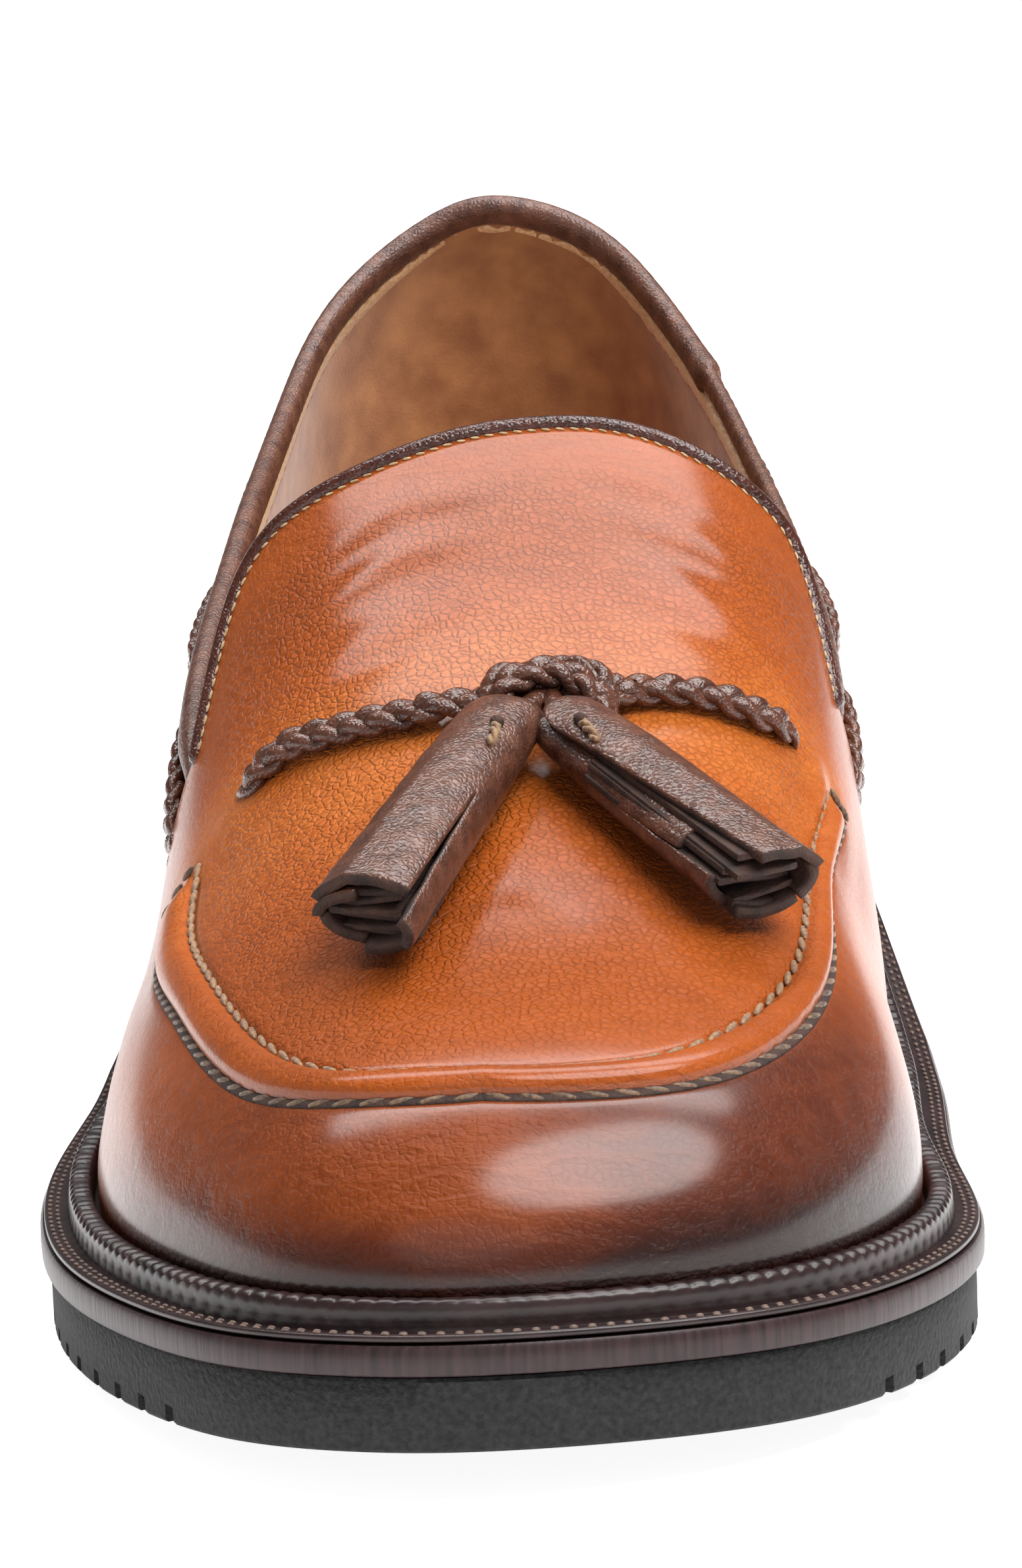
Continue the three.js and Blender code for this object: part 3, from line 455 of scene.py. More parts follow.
def waxedLace(name, colour, light, roughness):
    # Oiled full-grain lace leather: low wrinkles and a waxy half gloss
    material, shader = newMaterial(name, colour, Roughness=roughness, IOR=1.5)
    where = addNode(material, "ShaderNodeTexCoord"), "Object"
    addShade(material, shader, addNoise(material, where, 420, 4), [(0.3, colour), (0.72, light)])
    cellLine = addNode(material, "ShaderNodeMapRange", Value=addCells(material, where, 1450), From_Max=0.3)
    addBump(material, shader, (cellLine, 0), 0.5, 0.00012)
    return material


def noiseMaterial(name, colour, stops, shade, relief, strength, distance, stretch=None, **settings):
    # a noise for the shades and one for the bump, each by its scale and detail
    material, shader = newMaterial(name, colour, **settings)
    where = addNode(material, "ShaderNodeTexCoord"), "Object"
    if stretch:
        where = addNode(material, "ShaderNodeMapping", Vector=where, Scale=stretch), 0
    addShade(material, shader, addNoise(material, where, *shade), stops)
    addBump(material, shader, addNoise(material, where, *relief), strength, distance)
    return material


def threadMaterial(name, colour, light):
    # Bonded thread: twisted plies with a dull sheen
    return noiseMaterial(name, colour, [(0.3, colour), (0.7, light)], (1800, 2), (1800, 2), 0.5, 0.0001,
                         Roughness=0.62, Sheen_Weight=0.2)


tanCalf = calfLeather()
darkLace = waxedLace("waxedBrownLace", "#3b1f15", "#5f392a", 0.25)
pipingCalf = waxedLace("glazedBrownPiping", "#2e130c", "#4a2318", 0.25)
bindingCalf = waxedLace("matteBrownBinding", "#3f2219", "#684232", 0.4)
tasselCalf = waxedLace("pebbledTasselCalf", "#3c2117", "#5f3a2b", 0.3)
# Raw cut edges, near black: the leather's own dark cut edge, and painted shade where this lines the tassels'
# insides, their core and the apron seam's groove
cutEdgeAndShade = waxedLace("rawEdgeAndPaintedShade", "#1a0d09", "#40261a", 0.8)
# Buffed pigskin lining: matte camel nap with a soft sheen
lining = noiseMaterial("camelSuedeLining", "#96603a", [(0.3, "#8d5833"), (0.75, "#b67e4d")], (160, 6),
                       (2400, 3), 0.5, 0.0002, Roughness=0.9, Sheen_Weight=0.35, Sheen_Roughness=0.45)
# Vegetable-tanned welting, dyed dark brown and waxed: smooth with a purplish bloom
welting = noiseMaterial("waxedWelting", "#2e1b1a", [(0.3, "#170d0d"), (0.75, "#332021")], (180, 5), (1500, 3),
                        0.3, 0.0001, Roughness=0.34, Specular_IOR_Level=0.4)
# Stacked bend leather, edge-inked and burnished: faint upright striations
bendLeather = noiseMaterial("inkedBendLeather", "#3b2b2d", [(0.25, "#1b1112"), (0.8, "#3d2a2c")], (1300, 3),
                            (1300, 3), 0.5, 0.00015, (1, 1, 0.08), Roughness=0.42, Specular_IOR_Level=0.3)
# Moulded vulcanised rubber: matte charcoal with a fine pitted skin
rubber = noiseMaterial("mouldedRubber", "#2a2a2c", [(0.3, "#0c0c0d"), (0.75, "#2a2a2b")], (1500, 4),
                       (1500, 4), 0.9, 0.0003, Roughness=0.72, Specular_IOR_Level=0.3)
rawEdge = threadMaterial("rawSuedeEdge", "#b98a5c", "#dcb78a")
creamThread = threadMaterial("creamThread", "#94754e", "#c4a67c")
beigeThread = threadMaterial("waxedBeigeThread", "#563a20", "#94714a")
seamThread = threadMaterial("waxedSeamThread", "#241409", "#7a5c40")
weltThread = threadMaterial("brownWeltThread", "#3a2720", "#6b5142")
print("materials ready")


cameraSet = dict(distance=701.53, elevation=11.727, yaw=-0.433, roll=-2.290, aim=(0.554, 0, 45.476),
                 lens=126.865)


def addCamera():
    el, yaw, roll = [math.radians(cameraSet[key]) for key in ("elevation", "yaw", "roll")]
    back = Vector((math.sin(yaw) * math.cos(el), -math.cos(yaw) * math.cos(el), math.sin(el)))
    right = Vector((math.cos(yaw), math.sin(yaw), 0))
    up = back.cross(right)
    across = right * math.cos(roll) + up * math.sin(roll)
    upright = up * math.cos(roll) - right * math.sin(roll)
    data = bpy.data.cameras.new("camera")
    data.sensor_fit = "VERTICAL"
    data.sensor_height = 36
    data.lens = cameraSet["lens"]
    camera = bpy.data.objects.new("camera", data)
    place = Vector(inMetres(cameraSet["aim"])) + back * cameraSet["distance"] / 1000
    turn = Matrix((across, upright, back)).transposed().to_4x4()
    camera.matrix_world = Matrix.Translation(place) @ turn
    bpy.context.collection.objects.link(camera)
    bpy.context.scene.camera = camera


def addLight(name, place, aim, size, power, tint="#ffffff"):
    data = bpy.data.lights.new(name, "AREA")
    data.shape = "ELLIPSE"
    data.size, data.size_y = size
    data.energy = power
    data.color = linear(tint)[:3]
    light = bpy.data.objects.new(name, data)
    light.location = place
    light.rotation_euler = (Vector(aim) - Vector(place)).to_track_quat("-Z", "Y").to_euler()
    bpy.context.collection.objects.link(light)


addCamera()
addLight("backOverhead", (0.02, 0.47, 1.1), (0, 0, 0.06), (1.75, 0.46), 16)
addLight("keySoftbox", (0.43, -0.36, 0.98), (0, -0.1, 0.04), (1.0, 0.82), 21)
addLight("frontFill", (-0.35, -1.5, 0.75), (0, -0.05, 0.05), (1.8, 1.1), 3.5)
world = bpy.data.worlds.new("studio")
world.use_nodes = True
world.node_tree.nodes["Background"].inputs["Color"].default_value = (1, 1, 1, 1)
world.node_tree.nodes["Background"].inputs["Strength"].default_value = 0.14
bpy.context.scene.world = world
bpy.context.scene.view_settings.view_transform = "Standard"

# A white floor under the shoe that glows a little itself, so that it stays pale to its edges
floorMaterial, floorShader = newMaterial("litStudioFloor", "#dcdcdc", Roughness=0.95,
                                         Emission_Color=(1, 1, 1, 1), Emission_Strength=0.9)
floorMesh = bmesh.new()
bmesh.ops.create_grid(floorMesh, x_segments=8, y_segments=8, size=9.0)
floorData = bpy.data.meshes.new("floor")
floorMesh.to_mesh(floorData)
floorMesh.free()
floor = bpy.data.objects.new("floor", floorData)
floorData.materials.append(floorMaterial)
bpy.context.collection.objects.link(floor)

soleStations = 170


def outMargin(turn):
    return edgeMargin(turn) - bottom["outsoleInset"]


def heelMargin(turn):
    return outMargin(turn) - bottom["heelTaper"] / 2


def insoleMargin(turn):
    return np.full(np.shape(turn), -trim["wall"] - bottom["insoleInset"])


def floorAt(y):
    return 0 * y


def addPlate(name, skin, node, sharp, turns, offset, profile, ground=groundAt):
    fields = []  # the profile is made of insets from the edge and heights over the ground
    for side in (1, -1):
        margin = offset(side * turns)
        ring = []
        for inset, rise in profile:
            flat = offsetFeather(side * turns, margin - inset)
            ring.append(raised(flat, ground(flat[:, 1]) + rise))
        fields.append(np.stack(ring, axis=1))
    inner, outer = fields
    bm = bmesh.new()
    addGrid(bm, np.concatenate([inner, outer[:, ::-1], inner[:, :1]], axis=1))
    return finishPiece(name, bm, [skin], [node], sharp)


allTurns = halfTurns * (0.5 - 0.5 * np.cos(np.linspace(0, np.pi, soleStations)))
mid, outTop = bottom["outsole"] + bottom["gap"], bottom["outsole"]
addPlate("midsoleEdge", bendLeather, "midsole", 50, allTurns, edgeMargin,
         [(1.6, mid), (0.3, mid), (0.05, mid + 0.25), (0, mid + 1.6), (0.05, midsoleTop - 0.4),
          (0.35, midsoleTop), (2.0, midsoleTop)])
outsolePiece = addPlate("rubberOutsole", rubber, "outsole", 40, allTurns, outMargin,
                        [(1.2, 0), (0.35, 0), (0, 0.4), (0, outTop / 2), (0, outTop - 0.4), (0.3, outTop),
                         (2, outTop)])
sockTop = featherHeight + bottom["insole"]
addPlate("insoleSock", lining, "insole", 50, allTurns, insoleMargin,
         [(1.5, featherHeight), (0, featherHeight), (0, sockTop - 0.4), (0.4, sockTop), (3, sockTop)])

lugSet = dict(height=2.0, pitch=7.0, gap=2.0, depth=11.0, groove=3.0, treadPitch=12.0)


def turnAtAlong(along):
    low, high = 0.0, float(halfTurns)
    for _ in range(30):
        half = (low + high) / 2
        low, high = (half, high) if alongOf(featherAt(half)[1]) < along else (low, half)
    return low


def addBlock(bm, centre, angle, size, narrow=1.0):  # a cutting block, its upper half drawn in
    block = bmesh.ops.create_cube(bm, size=1)["verts"]
    for vert in block:
        if vert.co.z > 0:
            vert.co.x *= narrow
    bmesh.ops.scale(bm, verts=block, vec=Vector(size) / 1000)
    bmesh.ops.rotate(bm, verts=block, matrix=Matrix.Rotation(angle, 3, "Z"))
    bmesh.ops.translate(bm, verts=block, vec=inMetres(centre))


def lugBlocks(bm, fromAlong, toAlong, margin, rise):
    for side in (1, -1):
        run, end = 0.0, turnAtAlong(toAlong)
        turns = side * np.arange(turnAtAlong(fromAlong), end, 0.02)
        places = offsetFeather(turns, margin(turns))
        steps = np.linalg.norm(np.diff(places, axis=0), axis=1)
        for turn, here, step in zip(turns, places, steps):
            run += step
            if run < lugSet["pitch"]:
                continue
            run -= lugSet["pitch"]
            out = featherNormal(np.array(turn))
            middle = here - out * lugSet["depth"] / 2
            addBlock(bm, (middle[0], middle[1], rise(here[1])), math.atan2(out[0], -out[1]),
                     (lugSet["gap"] * 1.15, lugSet["depth"] + lugSet["gap"], 2 * lugSet["height"]), 0.75)


def carve(piece, cutterBm, sharp=40):
    bmesh.ops.recalc_face_normals(cutterBm, faces=cutterBm.faces)
    mesh = bpy.data.meshes.new("cutter")
    cutterBm.to_mesh(mesh)
    cutterBm.free()
    cutter = bpy.data.objects.new("cutter", mesh)
    bpy.context.collection.objects.link(cutter)
    cut = piece.modifiers.new("carve", "BOOLEAN")
    cut.operation, cut.solver, cut.object, cut.use_self = "DIFFERENCE", "EXACT", cutter, True
    carved = bpy.data.meshes.new_from_object(piece.evaluated_get(bpy.context.evaluated_depsgraph_get()))
    piece.modifiers.clear()
    piece.data = carved
    bpy.data.objects.remove(cutter)
    carved.shade_smooth()
    carved.set_sharp_from_angle(angle=math.radians(sharp))


treadStart, treadEnd = heelEnd + 0.05, 0.9
tread = bmesh.new()
lugBlocks(tread, treadStart, 0.945, outMargin, groundAt)
carve(outsolePiece, tread)
grooveTurns = np.linspace(turnAtAlong(treadStart), featherCount - turnAtAlong(treadStart), 150)
ring = []
for inset, rise in ((0, -2), (0, 2), (lugSet["groove"], 2), (lugSet["groove"], -2), (0, -2)):
    flat = offsetFeather(grooveTurns, outMargin(grooveTurns) - lugSet["depth"] - inset)
    ring.append(raised(flat, groundAt(flat[:, 1]) + rise))
ring = np.stack(ring, axis=1)
closed = np.concatenate([ring[:1] * 0 + ring[0, :4].mean(axis=0), ring,
                         ring[:1] * 0 + ring[-1, :4].mean(axis=0)])
groove = bmesh.new()
addGrid(groove, closed)
bmesh.ops.remove_doubles(groove, verts=groove.verts, dist=1e-6)
carve(outsolePiece, groove)
crossCuts = bmesh.new()
ballMiddle = (0.5 - (bottom["ballStart"] + bottom["ballEnd"]) / 2) * last["length"]
for i in range(-9, 9):
    y = ballMiddle + (i + 0.5) * lugSet["treadPitch"]
    if treadStart + 0.02 < alongOf(y) < treadEnd:
        turn = turnAtAlong(alongOf(y))
        left = offsetFeather(turn, outMargin(turn) - lugSet["depth"])[0]
        right = offsetFeather(-turn, outMargin(-turn) - lugSet["depth"])[0]
        addBlock(crossCuts, ((left + right) / 2, y, groundAt(y)), 0,
                 (right - left - lugSet["groove"], lugSet["groove"], 2 * lugSet["height"]))
carve(outsolePiece, crossCuts)

heelTurn = turnAtAlong(heelEnd)
heelTurns = heelTurn * (1 - np.cos(np.linspace(0, np.pi / 2, 60)))
heelTop = bottom["heelRise"] - bottom["gap"]
heelPiece = addPlate("heelBlock", rubber, "heel", 40, heelTurns, heelMargin,
                     [(2, 0), (1.1, 0), (0.75, 0.4), (0.4, 9), (0.02, heelTop - 0.3), (0.3, heelTop),
                      (2, heelTop)], floorAt)
heelLugs = bmesh.new()
lugBlocks(heelLugs, 0.03, heelEnd - 0.02, heelMargin, floorAt)
carve(heelPiece, heelLugs)
print("sole pieces built")

weltSet = dict(rows=1500, notchPitch=2.2, notchDepth=0.5, scallopPitch=2.8, scallopDepth=0.4)


def buildWelt():
    turns = np.linspace(0, featherCount, weltSet["rows"] + 1)
    margin = edgeMargin(turns)
    path = offsetFeather(turns, margin * 0.3)
    run = np.concatenate([[0], np.cumsum(np.linalg.norm(np.diff(path, axis=0), axis=1))])
    whole = run[-1]
    notches = round(whole / weltSet["notchPitch"])
    scallops = round(whole / weltSet["scallopPitch"])
    toe = np.exp(-(np.minimum(np.abs(turns - halfTurns), 13) / 2.2) ** 2)
    plain = 1 - 0.85 * toe
    notch = weltSet["notchDepth"] * plain * np.abs(np.cos(np.pi * run / whole * notches)) ** 6
    scallop = weltSet["scallopDepth"] * plain * np.abs(np.sin(np.pi * run / whole * scallops))
    base = midsoleTop + bottom["gap"]
    # share of the margin, height, share of the notches and share of the scallops
    section = [(-0.75, 0, 0, 0), (0.9, 0, 0, 0), (0.92, 0.15, 0, 0), (0.92, 0.55, 0, 0), (0.9, 0.7, 0, 0),
               (0.66, 0.7, 0, 0), (0.6, 0.62, 0, 0), (0.52, 0.66, 0, 0.7), (0.5, 1.1, 0, 1),
               (0.5, 1.7, 0, 0.5), (0.5, 2.6, 0.2, 0), (0.485, 3.4, 0.6, 0), (0.45, 3.75, 1, 0),
               (0.39, 3.98, 1, 0),
               (0.28, 4.02, 1, 0), (0.17, 3.95, 0.8, 0), (0.13, 3.7, 0.4, 0), (0.1, 2.5, 0, 0),
               (0.09, 0.75, 0, 0), (-0.2, 0.7, 0, 0), (-0.75, 0.7, 0, 0), (-0.75, 0, 0, 0)]
    field = []
    for out, height, notched, scalloped in section:
        flat = offsetFeather(turns, out * margin + scalloped * (scallop - 0.15) * 0.8)
        z = groundAt(flat[:, 1]) + base + height - notched * notch + scalloped * 0.25 * scallop
        field.append(raised(flat, z))
    bm = bmesh.new()
    addGrid(bm, np.stack(field, axis=1))
    finishPiece("stormWelt", bm, [welting], ["welt"], 55)


buildWelt()
print("welt built")

upperSet = dict(wallColumns=44, rollColumns=14, insideColumns=54, quarterRows=80, vampRows=132, valley=0.55,
                wingStep=1.1, crestBlend=0.011, crestPatch=0.014)


def surfaceStep(turn, up):  # mm of surface for one unit of row
    ahead = onLast(turn + 0.02, up) - onLast(turn - 0.02, up)
    return np.linalg.norm(ahead, axis=-1) / 0.04 * halfTurns


def quarterTop(side, row, drop):
    corner = tongueTable[side][0]
    at = upAtHeight(side * row * halfTurns, lastRow(side * row * halfTurns)["top"] - drop)
    end = upAtHeight(side * corner[1] * halfTurns, lastRow(side * corner[1] * halfTurns)["top"] - drop)
    ease = smoothStep((row / corner[1] - 0.75) / 0.25)
    return at + (corner[0] - 0.012 * drop - end) * ease


def rollRelief(side, row, up):
    seam, edge = seamCurve[side](row), rollCurve[side](row)
    raised = smoothStep((row - trim["apronStart"]) / trim["apronFade"])
    share = (up - seam) / (edge - seam)
    inside = np.clip(share, 0, 1)
    roll = trim["roll"] * np.sqrt(np.maximum(0, 1 - (2 * inside - 1) ** 2))
    valley = upperSet["valley"] * (np.exp(-(share / 0.13) ** 2) + np.exp(-((share - 1) / 0.13) ** 2))
    return raised * (roll - valley)


def upperTones(side, row, up, points):
    along = alongOf(points[..., 1])
    seam, edge = seamCurve[side](row), rollCurve[side](row)
    onWall = 1 - smoothStep((up - seam + 0.03) / 0.05) * smoothStep((row - 0.5) / 0.05)
    toe = smoothStep((along - 0.74) / 0.2)
    front = smoothStep((along - 0.66) / 0.16)
    low = smoothStep((0.3 - up) / 0.3)
    rightToe = smoothStep((points[..., 0] + 8) / 36)
    # The wall's tone darkens towards the toe, towards the bottom of the wall and on the outer side of the toe
    wallTone = 0.36 + 0.2 * toe + 0.45 * low * toe + 0.22 * rightToe * toe + 0.08 * low
    apronTone = 0.18 + 0.16 * front
    heel = smoothStep((0.12 - along) / 0.12)
    burnish = wallTone * onWall + apronTone * (1 - onWall) + 0.12 * heel
    grain = 0.25 + 0.75 * smoothStep((up - edge) / 0.1) * smoothStep((row - 0.47) / 0.02) * (1 - 0.6 * toe)
    return dict(burnish=burnish, grain=grain)


def upperHalf(bm, side):
    corner = tongueTable[side][0]
    wallShare = np.linspace(0, 1, upperSet["wallColumns"] + 1)
    rows = np.append(np.linspace(0, corner[1] - 0.0016, upperSet["quarterRows"]), corner[1])
    rows = rows[:, None] * np.ones_like(wallShare)
    ups = quarterTop(side, rows, 2.2) * wallShare
    sunk = smoothStep((rows - 0.38) / 0.09) * smoothStep((ups - 0.17) / 0.07) * (rows < corner[1] - 0.001)
    points = offLast(side * rows * halfTurns, ups, -upperSet["wingStep"] * sunk)
    addGrid(bm, points, upperTones(side, rows, ups, points))
    cornerUp = float(quarterTop(side, np.array([corner[1]]), 2.2)[0])
    ahead = np.linspace(0, 1, upperSet["vampRows"] + 1)[:, None]
    roll, inside = upperSet["rollColumns"], upperSet["insideColumns"]
    spread = np.concatenate([np.zeros(len(wallShare)), np.linspace(0, 1, roll + inside + 1)[1:]])
    firstUp = cornerUp + (1 - cornerUp) * spread
    firstRow = np.where(spread > 0, tongueCurve[side](np.maximum(firstUp, corner[0])), corner[1])
    firstRow = firstRow + 1.1 / surfaceStep(side * firstRow * halfTurns, firstUp) * smoothStep(spread / 0.06)
    rows = firstRow + (1 - firstRow) * ahead
    settle = smoothStep((rows - corner[1]) / (trim["apronStart"] - corner[1]))
    seam = cornerUp + (seamCurve[side](rows) - cornerUp) * settle
    edge = cornerUp + 0.06 + (rollCurve[side](rows) - cornerUp - 0.06) * settle
    column = np.arange(len(spread))
    inWall = np.minimum(column / upperSet["wallColumns"], 1)
    inRoll = np.clip((column - upperSet["wallColumns"]) / roll, 0, 1)
    inTop = np.clip((column - upperSet["wallColumns"] - roll) / inside, 0, 1)
    ups = seam * inWall + (edge - seam) * inRoll + (1 - edge) * inTop
    blend = np.where(spread > 0, smoothStep((rows - 0.462) / (trim["apronStart"] - 0.462)), 1)
    ups = firstUp * (1 - blend) + ups * blend
    points = onLast(side * rows * halfTurns, ups)
    relief = rollRelief(side, rows, ups)
    points = points + lastNormal(side * rows * halfTurns, ups) * relief[..., None]
    addGrid(bm, points, upperTones(side, rows, ups, points))


# Folds: side, points of the line (row, share up), half width and depth in mm (a rise is positive)
foldSet = [
    (1, [(0.49, 0.62), (0.492, 0.72), (0.489, 0.82)], 2.0, -0.34),
    (1, [(0.497, 0.58), (0.5, 0.7), (0.496, 0.8), (0.498, 0.92)], 2.4, 0.26),
    (1, [(0.506, 0.5), (0.51, 0.62), (0.507, 0.74)], 1.8, -0.26),
    (1, [(0.482, 0.7), (0.48, 0.82), (0.483, 0.95)], 1.6, 0.22),
    (1, [(0.517, 0.55), (0.521, 0.7), (0.517, 0.85)], 2.2, 0.22),
    (1, [(0.53, 0.66), (0.533, 0.8), (0.529, 0.95)], 1.8, -0.22),
    (1, [(0.535, 0.46), (0.549, 0.5), (0.562, 0.56)], 2.2, 0.3),
    (1, [(0.552, 0.47), (0.569, 0.49), (0.59, 0.56)], 2.6, -0.3),
    (1, [(0.58, 0.7), (0.6, 0.74), (0.63, 0.8)], 3.2, -0.2),
    (1, [(0.62, 0.62), (0.65, 0.7), (0.66, 0.8)], 3.0, 0.16),
    (1, [(0.7, 0.66), (0.7, 0.76), (0.69, 0.88)], 2.4, -0.1),
    (1, [(0.53, 0.3), (0.56, 0.33), (0.6, 0.34)], 3.0, -0.3),
    (1, [(0.55, 0.22), (0.6, 0.26), (0.65, 0.26)], 3.4, 0.25),
    (1, [(0.6, 0.12), (0.66, 0.18), (0.72, 0.2)], 3.0, -0.2),
    (-1, [(0.49, 0.55), (0.493, 0.66), (0.49, 0.78)], 2.0, 0.32),
    (-1, [(0.5, 0.6), (0.503, 0.72), (0.499, 0.88)], 2.0, -0.3),
    (-1, [(0.484, 0.7), (0.486, 0.8), (0.483, 0.92)], 1.7, -0.2),
    (-1, [(0.512, 0.55), (0.515, 0.68), (0.511, 0.8)], 2.2, 0.24),
    (-1, [(0.525, 0.6), (0.528, 0.75), (0.525, 0.9)], 1.7, -0.24),
    (-1, [(0.541, 0.5), (0.555, 0.47), (0.58, 0.475), (0.61, 0.5)], 2.3, 0.55),
    (-1, [(0.545, 0.56), (0.56, 0.53), (0.585, 0.54)], 2.0, -0.35),
    (-1, [(0.54, 0.44), (0.565, 0.42), (0.6, 0.43)], 2.4, -0.3),
    (-1, [(0.6, 0.62), (0.63, 0.64), (0.67, 0.7)], 2.8, -0.18),
    (-1, [(0.66, 0.64), (0.7, 0.7), (0.71, 0.8)], 3.0, 0.14),
    (-1, [(0.52, 0.3), (0.56, 0.33), (0.61, 0.36)], 3.0, -0.3),
    (-1, [(0.57, 0.22), (0.62, 0.26), (0.68, 0.3)], 3.2, 0.22),
    (-1, [(0.4, 0.1), (0.45, 0.14), (0.52, 0.16)], 3.0, -0.22),
    (-1, [(0.725, 0.5), (0.729, 0.55), (0.728, 0.6)], 1.1, -0.4),
    (-1, [(0.742, 0.5), (0.746, 0.55), (0.744, 0.6)], 1.1, -0.42),
    (-1, [(0.76, 0.51), (0.764, 0.56), (0.763, 0.6)], 1.1, -0.38),
    (-1, [(0.78, 0.51), (0.783, 0.56), (0.784, 0.6)], 1.0, -0.3),
    (1, [(0.62, 0.4), (0.622, 0.43), (0.62, 0.46)], 1.1, -0.14),
    (1, [(0.66, 0.43), (0.662, 0.46), (0.66, 0.5)], 1.1, -0.12),
]


def evenCrestEnd(piece):  # the rows of the last meet at the end of its crest; a fitted patch evens the spot
    mesh = piece.data
    places = np.empty(len(mesh.vertices) * 3)
    mesh.vertices.foreach_get("co", places)
    places = places.reshape(-1, 3)
    patch = upperSet["crestPatch"]
    x, y = ((places[:, :2] - crestLine[-1, :2] - (0, patch * 0.25)) / patch).T
    away = np.hypot(x, y)
    near = (away < 1.15) & (places[:, 2] > crestLine[-1, 2] - 0.02)
    ring = near & (away > 0.6)
    terms = np.stack([x ** i * y ** j for i in range(4) for j in range(4 - i)], axis=1)
    fit = np.linalg.lstsq(terms[ring], places[ring, 2], rcond=None)[0]
    share = (smoothStep((1 - away) / 0.4) * near)[:, None]
    even = raised(places[:, :2], terms @ fit)
    mesh.vertices.foreach_set("co", (places + (even - places) * share).ravel())


def shapeFolds(piece):
    mesh = piece.data
    places, normals = [np.empty(len(mesh.vertices) * 3) for _ in range(2)]
    mesh.vertices.foreach_get("co", places)
    mesh.vertices.foreach_get("normal", normals)
    places, normals = places.reshape(-1, 3) * 1000, normals.reshape(-1, 3)
    rise = np.zeros(len(places))
    for side, line, width, depth in foldSet:
        rows, ups = resample(np.pad(np.array(line), ((0, 0), (0, 1))), 26)[:, :2].T
        crease = inMetres(onLast(side * rows * halfTurns, ups)) * 1000
        close = np.flatnonzero(np.all((places > crease.min(axis=0) - 3 * width)
                                      & (places < crease.max(axis=0) + 3 * width), axis=1))
        away = np.linalg.norm(places[close, None] - crease[None], axis=2)
        nearest = away.argmin(axis=1)
        fade = np.sin(np.pi * (nearest + 0.5) / 26) ** 0.7
        rise[close] += depth * fade * np.exp(-(away.min(axis=1) / width) ** 2)
    mesh.vertices.foreach_set("co", ((places + normals * rise[:, None]) / 1000).ravel())


upperBm = bmesh.new()
for side in (1, -1):
    upperHalf(upperBm, side)
bmesh.ops.remove_doubles(upperBm, verts=upperBm.verts, dist=4e-5)
crestLine = inMetres(onLast(np.linspace(0.6, 1, 120) * halfTurns, 1.0))
crestEnd = crestLine[-1]


def crestX(y):
    return np.interp(-y, -crestLine[:, 1], crestLine[:, 0])


nearCrest = [vert for vert in upperBm.verts if crestEnd[1] - 0.006 < vert.co.y < crestLine[0, 1]
             and abs(vert.co.x - crestX(vert.co.y)) < upperSet["crestBlend"]
             and vert.co.z > crestEnd[2] - 0.004]
for _ in range(90):
    bmesh.ops.smooth_vert(upperBm, verts=nearCrest, factor=0.5, use_axis_z=True)
upperPiece = finishPiece("tanUpper", upperBm, [tanCalf, lining], ["upper"], merge=4e-5)
evenCrestEnd(upperPiece)
shapeFolds(upperPiece)
thick = upperPiece.modifiers.new("wall", "SOLIDIFY")
thick.thickness = trim["wall"] / 1000
thick.offset = -1
thick.material_offset = 1
thick.material_offset_rim = 0
print("upper built", len(upperPiece.data.polygons))


def rimEdges(side, rows, tongue):
    if tongue:
        ups = rows
        turns = side * tongueCurve[side](ups) * halfTurns
    else:
        turns = side * rows * halfTurns
        ups = quarterTop(side, rows, 0)
    return onLast(turns, ups), lastNormal(turns, ups)


bindingSet = dict(joint=0.225, narrower=0.9, thinner=1.1, tip=14.0, steps=620, tall=3.5, swell=0.25,
                  pucker=0.13)


def rimPath(pieces):
    points = np.concatenate([piece[0] for piece in pieces])
    normals = np.concatenate([piece[1] for piece in pieces])
    run = unit(np.gradient(points, axis=0))
    down = unit(np.cross(run, normals))
    return points, normals, down


def buildBinding():
    count = 90
    corners = {side: tongueTable[side][0][1] for side in (1, -1)}
    outerRows, innerRows = np.linspace(corners[-1], 0, count), np.linspace(0, corners[1], count)[1:]
    points, normals, down = rimPath([rimEdges(-1, outerRows, False), rimEdges(1, innerRows, False)])
    centre = points + down * trim["binding"] / 2 - normals * trim["wall"] / 2
    rows = np.concatenate([-outerRows, innerRows])[:, None]
    steps = bindingSet["steps"]
    path = resample(np.concatenate([centre, normals, rows], axis=1), steps)
    run = np.arange(steps) * pathLength(path[:, :3]) / (steps - 1)
    front = smoothStep((-bindingSet["joint"] - path[:, 6]) / 0.002)  # the thinner strip ahead of the joint
    puckers = np.sin(run * 2.3 + 1.4 * np.sin(run * 0.37)) * (0.3 + 0.7 * front)
    tips = smoothStep((np.minimum(run, run[-1] - run) + 1) / bindingSet["tip"])
    swell = bindingSet["swell"] * np.exp(-((path[:, 6] + bindingSet["joint"]) / 0.012) ** 2) * (1 - front)
    wide = (trim["binding"] + 0.3 - bindingSet["narrower"] * front + 2 * swell) * (0.42 + 0.58 * tips)
    tall = bindingSet["tall"] - bindingSet["thinner"] * front + 2 * swell + bindingSet["pucker"] * puckers
    tall = tall * (0.5 + 0.5 * tips)
    bm = bmesh.new()
    addGrid(bm, tubeRings(path[:, :3], path[:, 3:6], wide, tall, 20, 2.3))
    return finishPiece("collarBinding", bm, [bindingCalf], ["collar_binding"], merge=1e-6)


